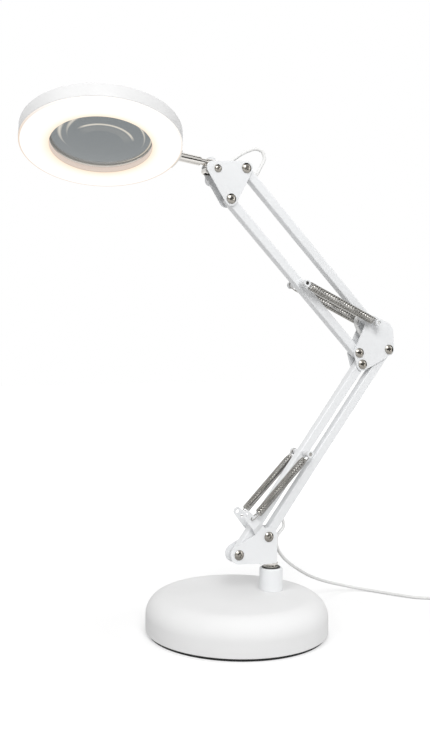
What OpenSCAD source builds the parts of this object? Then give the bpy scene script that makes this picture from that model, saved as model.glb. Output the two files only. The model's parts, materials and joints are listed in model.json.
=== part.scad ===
// Magnifying desk lamp: round weighted base, two parallelogram arms with springs, ring light with a lens.
// Millimetres. The arm lies in the XZ plane, pivots run along Y, and the origin is under the base's centre.

/* [Base] */
// Radius of the base's cover
base_r = 95; // [85:0.5:110]
// Height of the base's flat top above the floor
base_h = 39.5; // [36:0.5:50]
// Radius of the rounded edge round the top
base_fillet = 21; // [12:0.5:26]
// Wall of the cover
cover_wall = 2.2; // [1.6:0.1:3]
// Thickness of the foot pad
pad_t = 3; // [2:0.25:5]
// How far the foot pad stands in from the cover
pad_inset = 2.7; // [2.4:0.1:6]
// Thickness of the steel closing plate
floor_plate_t = 1.2; // [0.8:0.1:2]
// How far the cast weight stands in from the cover
weight_inset = 17; // [16:1:35]
// Thickness of the cast weight
weight_t = 12; // [8:0.5:16]

/* [Post and swivel] */
// Distance of the post from the base's centre
post_x = 41; // [30:1:50]
// Radius of the post
post_r = 12.4; // [11:0.1:14]
// Height of the post above the base
post_h = 23.5; // [18:0.5:32]
// Depth of the solid foot of the post
post_foot = 6; // [4:0.5:9]
// Radius of the swivel pin
pin_r = 5; // [4:0.1:6]
// Wall of the bush round the swivel pin
bush_wall = 1.9; // [1.2:0.1:2.4]
// Thickness of the bush's collar
bush_collar_t = 0.8; // [0.6:0.1:1.5]
// Thickness of the spring ring on the collar
ring_t = 1.2; // [0.8:0.1:2]
// Height of the pin that shows above the spring ring
pin_show = 1.3; // [0.8:0.1:4]
// Thickness of the pin's shoulder under the bracket
shoulder_t = 2.2; // [1.5:0.1:4]

/* [Sheet metal] */
// Thickness of the bracket plates
plate_t = 1.4; // [1:0.1:2]
// Thickness of the washers between bars and plates
washer_t = 0.6; // [0.4:0.05:1]
// Play on each side of a washer
washer_play = 0.1; // [0.05:0.01:0.2]

/* [Bars] */
// Width of the square bars
bar_w = 10; // [9:0.25:11]
// Wall of the square bars
bar_wall = 0.9; // [0.7:0.1:1.2]
// Radius of the bars' long edges
bar_edge = 1.4; // [1:0.1:2]
// Distance between the pivots of the lower bars
lower_len = 248.5; // [200:0.5:300]
// Slope of the lower bars in the stored pose
lower_angle = 52.6; // [48:0.1:60]
// Distance between the pivots of the upper bars
upper_len = 223.5; // [180:0.5:280]
// Slope of the upper bars in the stored pose
upper_angle = 134.25; // [128:0.25:140]
// Radius of the cable holes in the bars
cable_hole_r = 2.6; // [2.2:0.1:3]

/* [Lower bracket] */
// Height of the front pivot over the bracket's floor
front_pivot_z = 12; // [11:0.5:16]
// Distance of the front pivot in front of the post
front_pivot_x = 41; // [38:0.5:46]
// Distance of the back pivot behind the front pivot
back_pivot_dx = 34.7; // [32:0.1:37]
// Height of the back pivot over the front pivot
back_pivot_dz = 16.4; // [15:0.1:19]
// Radius of the plates round the front pivot
front_round = 9.5; // [8.5:0.25:11]
// Radius of the plates round the back pivot
back_round = 10; // [8.5:0.25:11]
// Width of the bracket's floor
floor_len = 20; // [17:0.5:24]
// Radius of a spring lug's end
lug_r = 4.4; // [4:0.1:4.6]
// Radius of a spring hole
lug_hole_r = 1.9; // [1.7:0.1:2.1]
// Outward set of the spring lugs
lug_set = 4.6; // [4:0.1:5]
// Distance of the far spring hole behind the front pivot
lug_far_dx = 6.8; // [5:0.1:9]
// Height of the far spring hole over the front pivot
lug_far_dz = 42.5; // [38:0.1:46]
// Distance of the near spring hole behind the front pivot
lug_near_dx = 12.2; // [10:0.1:14]
// Height of the near spring hole over the front pivot
lug_near_dz = 37.4; // [34:0.1:41]
// Distance of the lug's foot behind the front pivot
lug_foot_dx = 26.5; // [24:0.1:29]
// Height of the lug's foot over the front pivot
lug_foot_dz = 20.5; // [18:0.1:23]

/* [Elbow] */
// How far the upper front pivot lies over the lower one
elbow_rise = 12.7; // [12:0.1:16]
// How far the upper front pivot lies in front of the lower one
elbow_back = 4; // [2:0.1:6]
// Distance of the upper back pivot behind the front one
link_dx = 17.6; // [15:0.1:20]
// Height of the upper back pivot over the front one
link_dz = 33; // [30:0.1:36]
// Radius of the elbow plates' corners round the bolts
elbow_round = 6.7; // [6.4:0.1:8]
// Radius of the elbow plates round their rod
elbow_rod_round = 8; // [7:0.25:9]
// Radius of the elbow plates' upper corner
elbow_crown = 13; // [11:0.25:14]

/* [Head bracket] */
// Radius of the head plates round their pivots
head_plate_round = 7.5; // [7:0.25:9]
// Distance of the tilt pivot in front of the lower head pivot
tilt_dx = 15.2; // [13:0.1:18]
// Height of the tilt pivot over the lower head pivot
tilt_dz = 30.3; // [28:0.1:34]

/* [Rods and springs] */
// Radius of the cross rods
rod_r = 2; // [1.7:0.05:2.2]
// Radius of the sleeves on the cross rods
rod_sleeve_r = 3.2; // [2.9:0.1:3.6]
// Radius of the caps on the cross rods
rod_cap_r = 3.9; // [3.6:0.1:4.5]
// Thickness of the caps on the cross rods
rod_cap_t = 3.6; // [2.5:0.1:5]
// Distance of the springs from the arm's middle plane
spring_y = 14.5; // [14:0.1:15.2]
// Diameter of the spring wire
wire_d = 1.1; // [0.9:0.05:1.2]
// Radius of the springs, to the middle of the wire
spring_r = 3.85; // [3:0.05:4]
// Distance of the lower rod along its bar
lower_rod_at = 129; // [120:0.5:150]
// Distance of the upper rod along its bar
upper_rod_at = 103.5; // [95:0.5:120]

/* [Head joint] */
// Slope of the lamp head's rod
rod_slope = 7.5; // [0:0.5:20]
// Turn of the lamp head about its rod
head_twist = 17.5; // [0:0.5:30]
// Distance of the tilt pivot from the head's rim
rod_reach = 44.5; // [34:0.5:50]
// Height of the rod's axis over the tilt pivot
rod_rise = 5; // [4.6:0.1:6]
// Radius of the rod's neck in the head's wall
rod_neck_r = 2.9; // [2.6:0.1:3.4]
// Radius of the thick part of the rod, next to the head
rod_thick_r = 4.7; // [4.2:0.1:5]
// Radius of the middle part of the rod, next to the barrel
rod_mid_r = 3.4; // [3:0.1:3.8]
// Radius of the thin end of the rod, in the barrel
rod_thin_r = 2.1; // [1.9:0.1:2.4]
// Radius of the bore for the leads
rod_bore_r = 1.2; // [1:0.1:1.3]
// Radius of the barrel that grips the rod
barrel_r = 4.4; // [4:0.1:4.8]
// Length of the barrel in front of the tilt pivot
barrel_front = 10.5; // [9.5:0.5:12]
// Length of the barrel behind the tilt pivot
barrel_back = 6; // [5.7:0.1:7]
// Radius of the eye at the tilt pivot
eye_r = 5.6; // [5:0.1:6.2]
// Radius of the tilt knob's hub
knob_hub_r = 6.5; // [5.5:0.1:7.5]
// Distance of the knob's wing tips from its middle
knob_reach = 9.5; // [8.5:0.5:12]
// Radius of the knob's wing tips
knob_tip_r = 5.6; // [4.8:0.1:6]
// Thickness of the knob's wings
knob_t = 7; // [5:0.5:9]

/* [Head] */
// Radius of the head
head_r = 80.5; // [78:0.5:84]
// Thickness of the head
head_t = 16.5; // [15:0.25:20]
// Width of the light round the opening
light_w = 30; // [27:0.25:32]
// Wall of the housing
head_wall = 1.8; // [1.4:0.1:2.4]
// Thickness of the light's diffuser
diffuser_t = 1.9; // [1.5:0.1:2.5]
// Thickness of the lens at its edge
lens_edge_t = 4; // [3:0.25:5]
// Radius of the lens's curved faces
lens_curve = 333; // [280:1:500]
// Thickness of the ring that holds the lens
lens_ring_t = 2.2; // [1.5:0.1:2.4]
// Thickness of the light board
board_t = 1.6; // [1:0.1:2]
// Number of light chips in each circle
chips = 20; // [12:1:24]

/* [Fasteners] */
// Radius of the pivot bolts
bolt_r = 2; // [1.7:0.05:2.1]
// Radius of the pivot bolts' heads
bolt_head_r = 5.3; // [4.6:0.1:5.6]
// Height of the pivot bolts' heads
bolt_head_h = 2.6; // [2.2:0.1:2.9]
// Radius of the spacer sleeves round the pivot bolts
sleeve_r = 3; // [2.8:0.05:3.2]
// Radius of the pivot washers
washer_r = 4.6; // [4.2:0.1:4.8]
// Corner radius of the pivot nuts
nut_r = 4.1; // [3.8:0.1:4.5]
// Height of the pivot nuts
nut_h = 3.2; // [2.5:0.1:4]

/* [Cord] */
// Diameter of the cord
cord_d = 3.5; // [3.5:0.1:3.5]
// Length of the inline controller
ctrl_len = 62; // [62:1:62]
// Width of the inline controller
ctrl_w = 20; // [18:0.5:22]
// Height of the inline controller
ctrl_h = 10; // [9.5:0.25:12]
// Wall of the inline controller
ctrl_wall = 1.4; // [1:0.1:1.6]
// Radius of the push buttons
button_r = 4; // [3:0.1:4.5]
// Distance between the push buttons
button_pitch = 15; // [12:0.5:17]
// How far the buttons stand out
button_out = 1.2; // [1:0.1:2]
// Travel of the buttons
button_travel = 0.8; // [0.5:0.1:0.9]
// Length of the plug's grip
grip_len = 24; // [24:1:24]
// Width of the plug's grip
grip_w = 14; // [13:0.5:16]
// Height of the plug's grip
grip_h = 7.5; // [7:0.25:8]
// Length of the plug's metal shell
shell_len = 12; // [11:0.25:13]

/* [Hidden] */
$fn = 64;

// Named clearances and small lengths
fit = 0.05;
open_fit = 0.15;
seat_gap = 0.3;
eps = 0.01;
bolt_tip = 0.8;

// Heights of the swivel stack
plate_z = pad_t;
weight_z = plate_z + floor_plate_t;
weight_r = base_r - weight_inset;
cover_top = base_h - cover_wall;
post_top = base_h + post_h;
ring_z = post_top + bush_collar_t;
shoulder_z = ring_z + ring_t + pin_show;
floor_z = shoulder_z + shoulder_t;

// Depths of the sheets and rods on both sides of the arm's middle plane
plate_in = bar_w / 2 + washer_t + 2 * washer_play;
plate_out = plate_in + plate_t;
sleeve_end = spring_y - wire_d;
cap_start = spring_y + wire_d;
rod_end = cap_start + rod_cap_t;
rod_recess = 0.7;

// Pivots, as [x, z] in the arm's plane
function along(p, len, ang) = p + len * [cos(ang), sin(ang)];
piv_a = [post_x - front_pivot_x, floor_z + front_pivot_z];
piv_b = piv_a + [back_pivot_dx, back_pivot_dz];
piv_d = along(piv_a, lower_len, lower_angle);
piv_e = along(piv_b, lower_len, lower_angle);
piv_c = piv_d + [-elbow_back, elbow_rise];
piv_f = piv_c + [link_dx, link_dz];
piv_h = along(piv_c, upper_len, upper_angle);
piv_g = along(piv_f, upper_len, upper_angle);
piv_i = piv_h + [-tilt_dx, tilt_dz];
rod_k = along(piv_a, lower_rod_at, lower_angle);
rod_j = along(piv_c, upper_rod_at, upper_angle);

// Spring lugs: the far hole is spare, the near hole holds the spring
lug_far = piv_a + [lug_far_dx, lug_far_dz];
lug_near = piv_a + [lug_near_dx, lug_near_dz];
lug_foot = piv_a + [lug_foot_dx, lug_foot_dz];
lug_angle = atan2(lug_foot[1] - lug_far[1], lug_foot[0] - lug_far[0]);
lug_len = norm(lug_foot - lug_far);
bend_start = 0.58 * lug_len;
bend_len = 7;
lug_skin = 0.04;

// Where the cable leaves each bar, measured along the bar from its pivot
tail_hole_at = 24;
elbow_hole_at = 16;
loop_hole_at = 14;

// Head stations along the normal, from the lit face up
face_z = -head_t / 2;
back_z = head_t / 2;
board_z = back_z - head_wall - board_t;
opening_r = head_r - light_w;
seat_r = opening_r + 1.5;

// The rod and its flange, along the rod from the lens's centre
head_reach = head_r + rod_reach;
flange_t = 1.6;
flange_w = 26;
flange_h = 14;
flange_screw_angle = 6.7;
flange_screw_r = 1.3;
rod_inner = head_r - head_wall - 3.2;
rod_step = head_reach - 18;
rod_stop = head_reach - barrel_front - 0.2;
rod_far = head_reach + barrel_back + 2;
knob_start = plate_out + 0.2;

// Screws and their bosses under the cover, the post's bolt, and the stud of the swivel pin
screw_r = 1.5;
post_bolt_r = 4;
stud_r = 3;
boss_angles = [45, 135, 225, 315];
boss_ring = base_r - 9;
boss_top = base_h - base_fillet + 0.66 * (base_fillet - cover_wall);
function boss_at(a) = [boss_ring * cos(a), boss_ring * sin(a), 0];

// Inside the controller
board_top = ctrl_wall + 1.2;
button_flange = 0.8;

function lens_sag(r) = lens_curve - sqrt(lens_curve * lens_curve - r * r);
function unit(v) = v / norm(v);
function deg_dir(a) = [cos(a), sin(a)];

// Outer tangent points of two circles [x, y, r], with the shape on the left of the way from one to the other
function tangent(a, b) =
    let (d = [b[0] - a[0], b[1] - a[1]], l = norm(d), u = d / l, k = (a[2] - b[2]) / l,
         n = u * k + [u[1], -u[0]] * sqrt(1 - k * k))
    [[a[0], a[1]] + a[2] * n, [b[0], b[1]] + b[2] * n];

// Convex outline round circles [x, y, r] given anticlockwise
module blob(c) {
    polygon([for (i = [0 : len(c) - 1]) each tangent(c[i], c[(i + 1) % len(c)])]);
    for (k = c) translate([k[0], k[1]]) circle(k[2]);
}

// Extrudes an outline drawn in [x, z] from depth y0 to y1
module slab(y0, y1) {
    translate([0, y1, 0]) rotate([90, 0, 0]) linear_extrude(y1 - y0) children();
}

// Round rod or bore along Y at point p
module across(p, r, y0, y1) {
    translate([p[0], y1, p[1]]) rotate([90, 0, 0]) cylinder(r = r, h = y1 - y0);
}

// Round ring along Y at point p
module ring_across(p, r, bore, y0, y1) {
    difference() {
        across(p, r, y0, y1);
        across(p, bore, y0 - 1, y1 + 1);
    }
}

module rounded_square(w, r) {
    square([w - 2 * r, w], center = true);
    square([w, w - 2 * r], center = true);
    for (x = [-1, 1], y = [-1, 1]) translate([x, y] * (w / 2 - r)) circle(r);
}

module stadium(len, r) {
    translate([0, -r]) square([len, 2 * r]);
    circle(r);
    translate([len, 0]) circle(r);
}

// Disc with a rounded upper edge
module rounded_disc(r, z0, z1, fillet) {
    rotate_extrude() {
        translate([0, z0]) square([r - fillet, z1 - z0]);
        translate([0, z0]) square([r, z1 - fillet - z0]);
        translate([r - fillet, z1 - fillet]) intersection() {
            circle(fillet);
            square(2 * fillet);
        }
    }
}

// Domed head that stands up from z = 0, with a hexagon socket
module dome_head(r, h) {
    edge = 0.28 * h;
    curve = (r * r + (h - edge) * (h - edge)) / (2 * (h - edge));
    difference() {
        intersection() {
            cylinder(r = r, h = h);
            translate([0, 0, h - curve]) sphere(curve);
        }
        translate([0, 0, h - 0.55 * h]) cylinder(r = 0.36 * r, h = h, $fn = 6);
    }
}

// One square bar from pivot p, with a bore at each end; the children are cut from it in its own frame
module square_bar(p, len, ang, bore_near, bore_far) {
    translate([p[0], 0, p[1]]) rotate([0, -ang, 0]) difference() {
        intersection() {
            translate([-bar_w, 0, 0]) rotate([0, 90, 0]) linear_extrude(len + 2 * bar_w)
                rounded_square(bar_w, bar_edge);
            slab(-bar_w, bar_w) stadium(len, bar_w / 2);
        }
        translate([-bar_w, 0, 0]) rotate([0, 90, 0]) linear_extrude(len + 2 * bar_w)
            rounded_square(bar_w - 2 * bar_wall, bar_edge / 2);
        across([0, 0], bore_near, -bar_w, bar_w);
        across([len, 0], bore_far, -bar_w, bar_w);
        children();
    }
}

// Hole through one long face of a bar, in the bar's own frame; side is 1 for the upper face
module face_hole(at, side) {
    translate([at, 0, side > 0 ? 0 : -bar_w]) cylinder(r = cable_hole_r, h = bar_w);
}

// One pivot's bolt, nut, spacer sleeve and two washers
module pivot_set(p) {
    translate([p[0], -plate_out, p[1]]) rotate([90, 0, 0]) {
        dome_head(bolt_head_r, bolt_head_h);
        translate([0, 0, -2 * plate_out - nut_h - bolt_tip])
            cylinder(r = bolt_r, h = 2 * plate_out + nut_h + bolt_tip + eps);
    }
    ring_across(p, sleeve_r, bolt_r + fit, -plate_in, plate_in);
    difference() {
        translate([p[0], plate_out + nut_h, p[1]]) rotate([90, 0, 0]) cylinder(r = nut_r, h = nut_h, $fn = 6);
        across(p, bolt_r + fit, plate_out - 1, plate_out + nut_h + 1);
    }
    for (s = [-1, 1])
        let (y = s * (bar_w / 2 + washer_play + washer_t / 2))
            ring_across(p, washer_r, sleeve_r + fit, y - washer_t / 2, y + washer_t / 2);
}

// Sleeves and caps at both ends of a cross rod; the sleeves start at depth y0
module rod_dressing(p, y0) {
    for (s = [0, 1]) mirror([0, s, 0]) {
        ring_across(p, rod_sleeve_r, rod_r + fit, y0, sleeve_end);
        ring_across(p, rod_cap_r, rod_r + fit, cap_start, rod_end);
    }
}

module cross_rod(p) {
    across(p, rod_r, -rod_end + rod_recess, rod_end - rod_recess);
}

// Swept tube: rings of points along a path, with the frame carried from point to point
function tangents(p) = [for (i = [0 : len(p) - 1])
    unit(p[min(i + 1, len(p) - 1)] - p[max(i - 1, 0)])];
function across_of(n, t) = unit(n - (n * t) * t);
function normals(t, first) = [for (i = 0, n = across_of(first, t[0]); i < len(t);
    i = i + 1, n = i < len(t) ? across_of(n, t[i]) : n) n];
function tube_points(p, r, sides, first) =
    let (t = tangents(p), n = normals(t, first))
    [for (i = [0 : len(p) - 1], k = [0 : sides - 1])
        p[i] + r * (cos(360 * k / sides) * n[i] + sin(360 * k / sides) * cross(t[i], n[i]))];
function tube_faces(rings, sides) = concat(
    [for (i = [0 : rings - 2], k = [0 : sides - 1])
        let (a = i * sides + k, b = i * sides + (k + 1) % sides)
        each [[a, a + sides, b], [b, a + sides, b + sides]]],
    [for (k = [1 : sides - 2]) [0, k, k + 1]],
    [for (k = [1 : sides - 2]) let (o = (rings - 1) * sides) [o, o + k + 1, o + k]]);
module tube(p, r, sides = 8, first = [0, 1, 0.01]) {
    polyhedron(tube_points(p, r, sides, first), tube_faces(len(p), sides));
}

// Smooth path through hand-chosen points, with n steps between two of them
function spline_at(a, b, c, d, t) =
    0.5 * (2 * b + (c - a) * t + (2 * a - 5 * b + 4 * c - d) * t * t + (3 * b - a - 3 * c + d) * t * t * t);
function smooth(p, n) = let (m = len(p) - 1) concat(
    [for (i = [0 : m - 1], k = [0 : n - 1])
        spline_at(p[max(i - 1, 0)], p[i], p[i + 1], p[min(i + 2, m)], k / n)], [p[m]]);
function path_len(p) = len(p) < 2 ? 0 : [for (i = [1 : len(p) - 1]) norm(p[i] - p[i - 1])] *
    [for (i = [1 : len(p) - 1]) 1];

// Least gap of a wound tube to itself, between points more than a few diameters apart along it
function self_gap(p, d, skip) = min([for (i = [0 : len(p) - 1]) for (k = [i + skip : 1 : len(p) - 1])
    norm(p[i] - p[k])]) - d;

// Tension springs. Local axes: u along the spring, v in the arm's plane, w outwards.
curls = 14;
curl_rings = 8;
wire_sides = 6;
hook_r = rod_r + seat_gap + wire_d / 2;
hook_lead = 6.5;
lug_hook_r = 3.8;
lug_hook_in = 1.5;
lug_hook_back = 3;

function rod_hook() = [for (a = [-30 : -30 : -270]) [hook_r * cos(a), hook_r * sin(a), 0]];
function coil_turns(u0, u1, n) = [for (i = [0 : n])
    [u0 + (u1 - u0) * i / n, spring_r * cos(360 * i / curl_rings), spring_r * sin(360 * i / curl_rings)]];
function flip_u(p, len) = [for (i = [len(p) - 1 : -1 : 0]) [len - p[i][0], p[i][1], p[i][2]]];
function lug_hook(len) = [for (a = [90 : -36 : -198])
    [len - lug_hook_back + lug_hook_r * cos(a), 0, -lug_hook_in + lug_hook_r * sin(a)]];
function two_rod_spring(len) = concat(rod_hook(), [[hook_lead / 2, (hook_r + spring_r) / 2, 0]],
    coil_turns(hook_lead, len - hook_lead, curls * curl_rings),
    [[len - hook_lead / 2, (hook_r + spring_r) / 2, 0]], flip_u(rod_hook(), len));
function lug_spring(len) = concat(rod_hook(), [[hook_lead / 2, (hook_r + spring_r) / 2, 0]],
    coil_turns(hook_lead, len - lug_hook_r - lug_hook_back - 2, curls * curl_rings + curl_rings / 4),
    lug_hook(len));
function place_spring(p, from, to, side) =
    let (d = unit(to - from), u = [d[0], 0, d[1]], v = [-d[1], 0, d[0]], w = [0, side, 0])
    [for (q = p) [from[0], side * spring_y, from[1]] + q[0] * u + q[1] * v + q[2] * w];
module spring(local, from, to, side) {
    path = place_spring(local, from, to, side);
    echo(spring_gap = self_gap(path, wire_d, 6), length = path_len(path));
    color("silver") tube(path, wire_d / 2, wire_sides, [0.3, 1, 0.2]);
}

// Cord routes, as round numbers chosen by hand, in millimetres
cable_gap = 0.3;
exit_route = concat([for (q = [[12.8, 0, -6.1], [12.7, 0, -8.8], [14.2, 1, -13.1], [19.3, 5, -20.4]])
        [piv_b[0] + q[0], q[1], piv_b[1] + q[2]]],
    [[62.5, 11.5, 68.5], [75.4, 22, 59.2], [95, 38, 47.2], [121, 58, 32.8], [141, 70, 23.6],
    [160.5, 79.5, 15.8], [180, 84.5, 9.6], [197, 84, 5], [210, 78, 2.6], [219, 69, 1.75], [226, 58, 1.75],
    [236, 43, 1.75], [247, 29, 1.75], [262, 19, 1.75], [279, 16, 1.75], [293, 16.3, 2.2], [302.3, 14.4, 3.5],
    [305.6, 10.9, 4.8], [306, 8.4, 5], [306, 6.1, 5]]);
mid_route = [[306, -74.15, 5], [306, -78, 5], [305.2, -83, 4.1], [302, -88.6, 2.5], [295, -92, 1.75],
    [286, -87, 1.75], [276, -76.5, 2], [269, -71.2, 2.4], [262.2, -70.1, 2.45]];
end_route = [[261.8, -70.1, 6.45], [254, -70.9, 6.2], [246, -73.2, 5], [240, -75.6, 4], [234.2, -78.4, 3.75]];
tail_route = concat([for (u = [-3 - cable_gap, -7.5]) on_bar(piv_b, lower_angle, tail_hole_at, u)],
    [for (q = [[21.9, 10.6], [20.6, 6.7], [17.5, 3.4], [14.7, 0.4], [13, -2.7], [12.8, -5.7]])
        from_pivot(piv_b, q)]);
elbow_route = concat(
    [for (u = [3 + cable_gap, 7]) on_bar(piv_b, lower_angle, lower_len - elbow_hole_at, u)],
    [for (q = [[-19.3, -3.5], [-24.1, 4.5], [-29.6, 12.7]]) from_pivot(piv_e, q)],
    [for (q = [[-13.7, -9.1], [-17.2, -2.6], [-18.3, 2]]) from_pivot(piv_f, q)],
    [for (u = [7, 3 + cable_gap]) on_bar(piv_f, upper_angle, elbow_hole_at, u)]);
loop_route = concat(
    [for (u = [-3 - cable_gap, -8]) on_bar(piv_f, upper_angle, upper_len - loop_hole_at, u)],
    [for (q = [[20.9, 5.3], [24.4, 12.3], [22.4, 19.5], [15.4, 22.5], [6.4, 20.1], [-3, 15.3], [-10.6, 9.9],
        [-15.1, 5.5], [-17.9, 2]]) from_pivot(piv_g, q)],
    [for (t = [11.4, 8.3]) on_rod(t)]);
cord_r = cord_d / 2;

// Bend of a cable inside a bar, as [distance from its hole, height towards the hole's face]
cable_bend = [[0, 3], [0, 2.2], [0.3, 1.2], [1.4, -0.4], [3.6, -1.7], [6.5, -2]];
bend_end = cable_bend[len(cable_bend) - 1];

// Points of a cable as [x, y, z]: offset from a pivot, on the head's rod, and in a bar's own frame
function from_pivot(p, q) = [p[0] + q[0], 0, p[1] + q[1]];
function on_rod(t) = [piv_i[0] + rod_rise * sin(rod_slope) + t * cos(rod_slope), 0,
    piv_i[1] + rod_rise * cos(rod_slope) - t * sin(rod_slope)];
function on_bar(p, ang, at, up) = let (q = along(p, at, ang) + up * deg_dir(ang + 90)) [q[0], 0, q[1]];
function bar_cable(p, len, ang, near, near_side, far, far_side) = concat(
    [for (b = cable_bend) on_bar(p, ang, near + b[0], near_side * b[1])],
    [for (k = [1 : 6]) let (t = k / 7)
        on_bar(p, ang, near + bend_end[0] + (len - near - far - 2 * bend_end[0]) * t,
            bend_end[1] * (near_side * (1 - t) + far_side * t))],
    [for (i = [len(cable_bend) - 1 : -1 : 0])
        on_bar(p, ang, len - far - cable_bend[i][0], far_side * cable_bend[i][1])]);

// Coil of the cord: it spirals in, climbs one layer where it turns back, and spirals out again
coil_mid = [262, -42];
coil_turns_in = 4;
coil_out_r = 28.1;
coil_in_r = 12.1;
coil_rings = 24;
coil_step = cord_d + 0.5;
tie_t = 0.6;
coil_lift = tie_t + 0.1;
function coil_path() = [for (i = [0 : 2 * coil_turns_in * coil_rings])
    let (n = coil_turns_in * coil_rings, k = i <= n ? i / n : 2 - i / n,
         r = coil_out_r + (coil_in_r - coil_out_r) * k, a = -90 - 360 * i / coil_rings,
         lift = min(1, max(0, (i - n + coil_rings / 4) / (coil_rings / 2))))
    [coil_mid[0] + r * cos(a), coil_mid[1] + r * sin(a), cord_r + coil_lift + coil_step * lift]];

// Controller and plug places on the floor
ctrl_mid = [306, -34];
relief_len = 9;
relief_tip_r = cord_r + 0.5;
relief_root_r = cord_r + 1.6;
plug_at = [234, -78.5];
plug_angle = 205;

// Weighted base
module base_cover() {
    color("white") {
        difference() {
            rounded_disc(base_r, pad_t, base_h, base_fillet);
            rounded_disc(base_r - cover_wall, pad_t - 1, cover_top, base_fillet - cover_wall);
            translate([post_x, 0, 0]) cylinder(r = post_bolt_r + fit, h = base_h + 1);
        }
        for (a = boss_angles) translate(boss_at(a)) difference() {
            translate([0, 0, weight_z]) cylinder(r = 4.5, h = boss_top - weight_z);
            cylinder(r = screw_r, h = 30);
        }
    }
}

module base_weight() {
    color("dimgray") difference() {
        translate([0, 0, weight_z]) cylinder(r = weight_r, h = weight_t);
        translate([0, 0, weight_z - 1]) cylinder(r = 9, h = weight_t + 2);
    }
}
module base_plate() {
    color("gray") difference() {
        translate([0, 0, plate_z]) cylinder(r = base_r - cover_wall - 0.2, h = floor_plate_t);
        for (a = boss_angles) translate(boss_at(a)) cylinder(r = screw_r + fit, h = 30);
    }
}
module base_fasteners() {
    color("silver") {
        for (a = boss_angles) translate(boss_at(a) + [0, 0, plate_z]) {
            translate([0, 0, -1.6]) cylinder(r = 3, h = 1.6);
            cylinder(r = screw_r - fit, h = 11);
        }
        translate([post_x, 0, cover_top - 5]) {
            cylinder(r = 7.5, h = 5, $fn = 6);
            cylinder(r = post_bolt_r, h = 5 + cover_wall + post_foot - 0.5);
        }
    }
}
module foot_pad() {
    color("black") difference() {
        cylinder(r = base_r - pad_inset, h = pad_t);
        for (a = boss_angles) translate(boss_at(a) - [0, 0, 1]) cylinder(r = 3.4, h = pad_t + 2);
    }
}

// Post, bush, swivel pin and lower bracket
module post() {
    color("white") translate([post_x, 0, 0]) difference() {
        rounded_disc(post_r, base_h, post_top, 1.6);
        translate([0, 0, base_h + post_foot]) cylinder(r = pin_r + fit + bush_wall + fit, h = post_h);
        cylinder(r = post_bolt_r + fit, h = base_h + post_foot + 1);
    }
}
module post_bush() {
    color("black") translate([post_x, 0, 0]) difference() {
        union() {
            translate([0, 0, base_h + post_foot])
                cylinder(r = pin_r + fit + bush_wall, h = post_h - post_foot);
            translate([0, 0, post_top]) cylinder(r = post_r - 2.6, h = bush_collar_t);
        }
        translate([0, 0, base_h]) cylinder(r = pin_r + fit, h = post_h + 10);
    }
}
module swivel_pin() {
    color("silver") translate([post_x, 0, 0]) {
        translate([0, 0, base_h + post_foot]) cylinder(r = pin_r, h = floor_z - base_h - post_foot);
        translate([0, 0, shoulder_z]) cylinder(r = pin_r + 2.4, h = shoulder_t);
        translate([0, 0, floor_z - eps]) cylinder(r = stud_r, h = plate_t + 4.6);
        translate([0, 0, floor_z + plate_t]) difference() {
            cylinder(r = 5.6, h = 4, $fn = 6);
            translate([0, 0, -1]) cylinder(r = stud_r + fit, h = 6);
        }
    }
}
module swivel_ring() {
    color("silver") translate([post_x, 0, ring_z]) difference() {
        cylinder(r = pin_r + 3.4, h = ring_t);
        translate([0, 0, -1]) cylinder(r = pin_r + fit, h = ring_t + 2);
        rotate([0, 0, -35]) translate([0, -1.6, -1]) cube([20, 3.2, ring_t + 2]);
    }
}

// Main outline of a lower bracket plate, and the spring lug that is bent out of it
module lower_plate_outline() {
    right = piv_b[0] + back_round;
    blob([concat(piv_a, front_round), [right - 2, floor_z + 2, 2], concat(piv_b, back_round)]);
    translate([right - floor_len, floor_z]) square([floor_len - 2, 4]);
}
module lug() {
    t0 = bend_start;
    t1 = bend_start + bend_len;
    y0 = plate_in;
    y1 = plate_in + lug_set;
    root = y0 + lug_skin;
    back = y0 + plate_t - lug_skin;
    intersection() {
        slab(0, 3 * plate_out) blob([concat(lug_foot, lug_r + 2.4), concat(lug_far, lug_r)]);
        translate([lug_far[0], 0, lug_far[1]]) rotate([0, -lug_angle, 0]) linear_extrude(60, center = true)
            polygon([[-10, y1], [t0, y1], [t1, root], [lug_len + 4, root], [lug_len + 4, back],
                [t1 + 0.5, back], [t0 + 0.5, y1 + plate_t], [-10, y1 + plate_t]]);
    }
}
module lower_bracket() {
    color("white") difference() {
        union() {
            for (s = [0, 1]) mirror([0, s, 0]) {
                slab(plate_in, plate_out) lower_plate_outline();
                lug();
            }
            translate([piv_b[0] + back_round - floor_len, -plate_out + eps, floor_z])
                cube([floor_len - 2, 2 * plate_out - 2 * eps, plate_t]);
        }
        for (p = [piv_a, piv_b]) across(p, bolt_r + fit, -20, 20);
        for (p = [lug_far, lug_near]) across(p, lug_hole_r, -20, 20);
        translate([post_x, 0, floor_z - 1]) cylinder(r = stud_r + fit, h = plate_t + 2);
    }
}
module lower_fasteners() {
    color("silver") for (p = [piv_a, piv_b]) pivot_set(p);
}

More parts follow.
